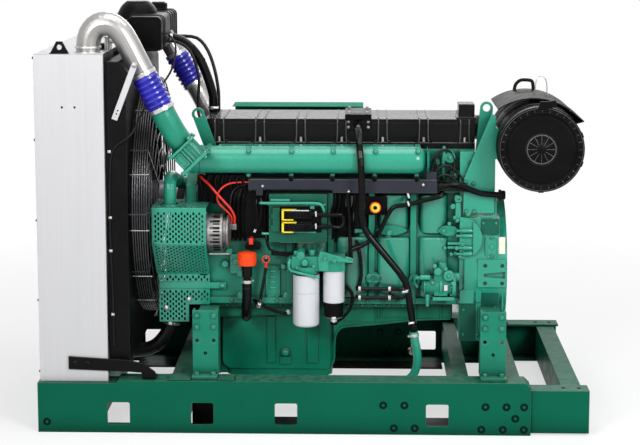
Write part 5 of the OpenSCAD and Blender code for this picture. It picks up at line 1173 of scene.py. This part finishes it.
for z in (925, 1080, 1135):
    box(700, 486, z - 5, 1232, 489, z + 5)
rim(686, 1247, 900, 1160, 10, 8, 8, 486.5, 3)
wrapUp("heat_shield_ribs", "enginePaint", bevel=1)
bolts("heat_shield_bolts", "zinc", [("+y", 13, [(x, 487, z) for x in (708, 960, 1226) for z in (948, 1108)])])
lathe((1430, *starter), "-x", [(0, 0), (44, 0), (46, 3), (44, 8), (20, 12), (0, 12)], 40)
for x in (1446, 1540, 1596):
    band((x, *starter), "+x", 46, 2.5, 4, 40, 1)
lathe((1560, 330, 545), "-x", [(0, 0), (20, 0), (24, -4), (24, -90), (0, -90)])
wrapUp("starter_casings", "blackPaint")
for y in (322, 340):
    rod((1466, y, 548), (1448, y, 548), 4, sides=12)
    rod((1459, y, 548), (1455, y, 548), 8, sides=6)
wrapUp("starter_terminals", "zinc")
for x in (760, 980, 1200, 1420):
    lathe((x, 249, 560), "+y", [(0, 3), (22, 3), (27, 6), (30, 5), (30, 0), (0, 0)], 36)
plugs = (700, 860, 1100, 1320)
for x in plugs:
    boss(x, 700, 249, 262, 16, 13)
wrapUp("far_core_plugs", "enginePaint")
bolts("far_side_bolts", "enginePaint", [("+y", 15, [(x, 262, 700) for x in plugs])])
clamp((1160, *turbo), "+x", 52.6, 14, 1.0)
wrapUp("intake_duct_clamp", "zinc")
print("exhaust side dressed")

# Skid frame: nuts behind the webs, mount bolts, foot bolts and pads, weld beads
for x, z in railBolts[:-1]:  # the bolt at the front end is blind
    for side in both:
        inner = 538.4 if x > 1676 else 546.8  # back of the web, on the extensions and on the rails
        bolt((x, side * inner, z), "+y" if side < 0 else "-y", 19)
wrapUp("rail_nuts", "framePaint")
# black strips on the floor under the rails and behind the front window: painted shadow
box(585, -456, 0.6, 1597, -362, 7.4)
box(255, 350, 0.6, 1597, 456, 7.4)
for side in both:
    box(584, side * 452 - 3, 8.2, 692, side * 452 + 3, 196)
wrapUp("rail_painted_shadow_strips", "blackPaint", bevel=0.8)
mount = {"x": (640, 1748), "face": 480, "spread": 32, "foot": 506, "footZ": 217}
bolts("mount_bolts", "enginePaint", [(way, 19, [(x + d, side * mount["face"], z) for x in mount["x"]
    for d in (-mount["spread"], mount["spread"]) for z in (444, 400)]) for way, side in (("-y", -1), ("+y", 1))])
bolts("mount_foot_bolts", "enginePaint", [("+z", 19, [(x + d, side * mount["foot"], mount["footZ"])
    for x in mount["x"] for d in (-mount["spread"], mount["spread"]) for side in both])])
for x in mount["x"]:
    for side in both:
        for d in (-49, 49):
            wire((x + d, side * 482, 208), (x + d, side * 530, 208), 2.4)
        wire((x - 47, side * 532, 207), (x + 47, side * 532, 207), 2.6)
        wire((x - 47, side * 481, 218.5), (x + 47, side * 481, 218.5), 2.6)
for xa, xb in ((24, 108), (166, 250), (500, 580), (1600, 1660)):
    for side in both:
        for x in (xa, xb):
            wire((x, side * 544, 50), (x, side * 544, 182), 2.6)
        wire((xa, side * 544, 186), (xb, side * 544, 186), 2.6)
wrapUp("weld_beads", "framePaint")
for side in both:
    low, high = sorted((side * 470, side * 551))
    box(502, low, 205.2, 588, high, 211)
    box(692, low, 205.2, 755, high, 211)
wrapUp("mount_pads", "framePaint", bevel=1.5)
for x in mount["x"]:
    for side in both:
        for z in (444, 400, 346):
            for d in (-32, 32):
                lathe((x + d, side * 479.5, z), (0, side, 0), [(12, 0), (15, 0), (15, 1.2), (12, 1.2)], 20)
wrapUp("mount_washers", "enginePaint")
print("frame dressed")
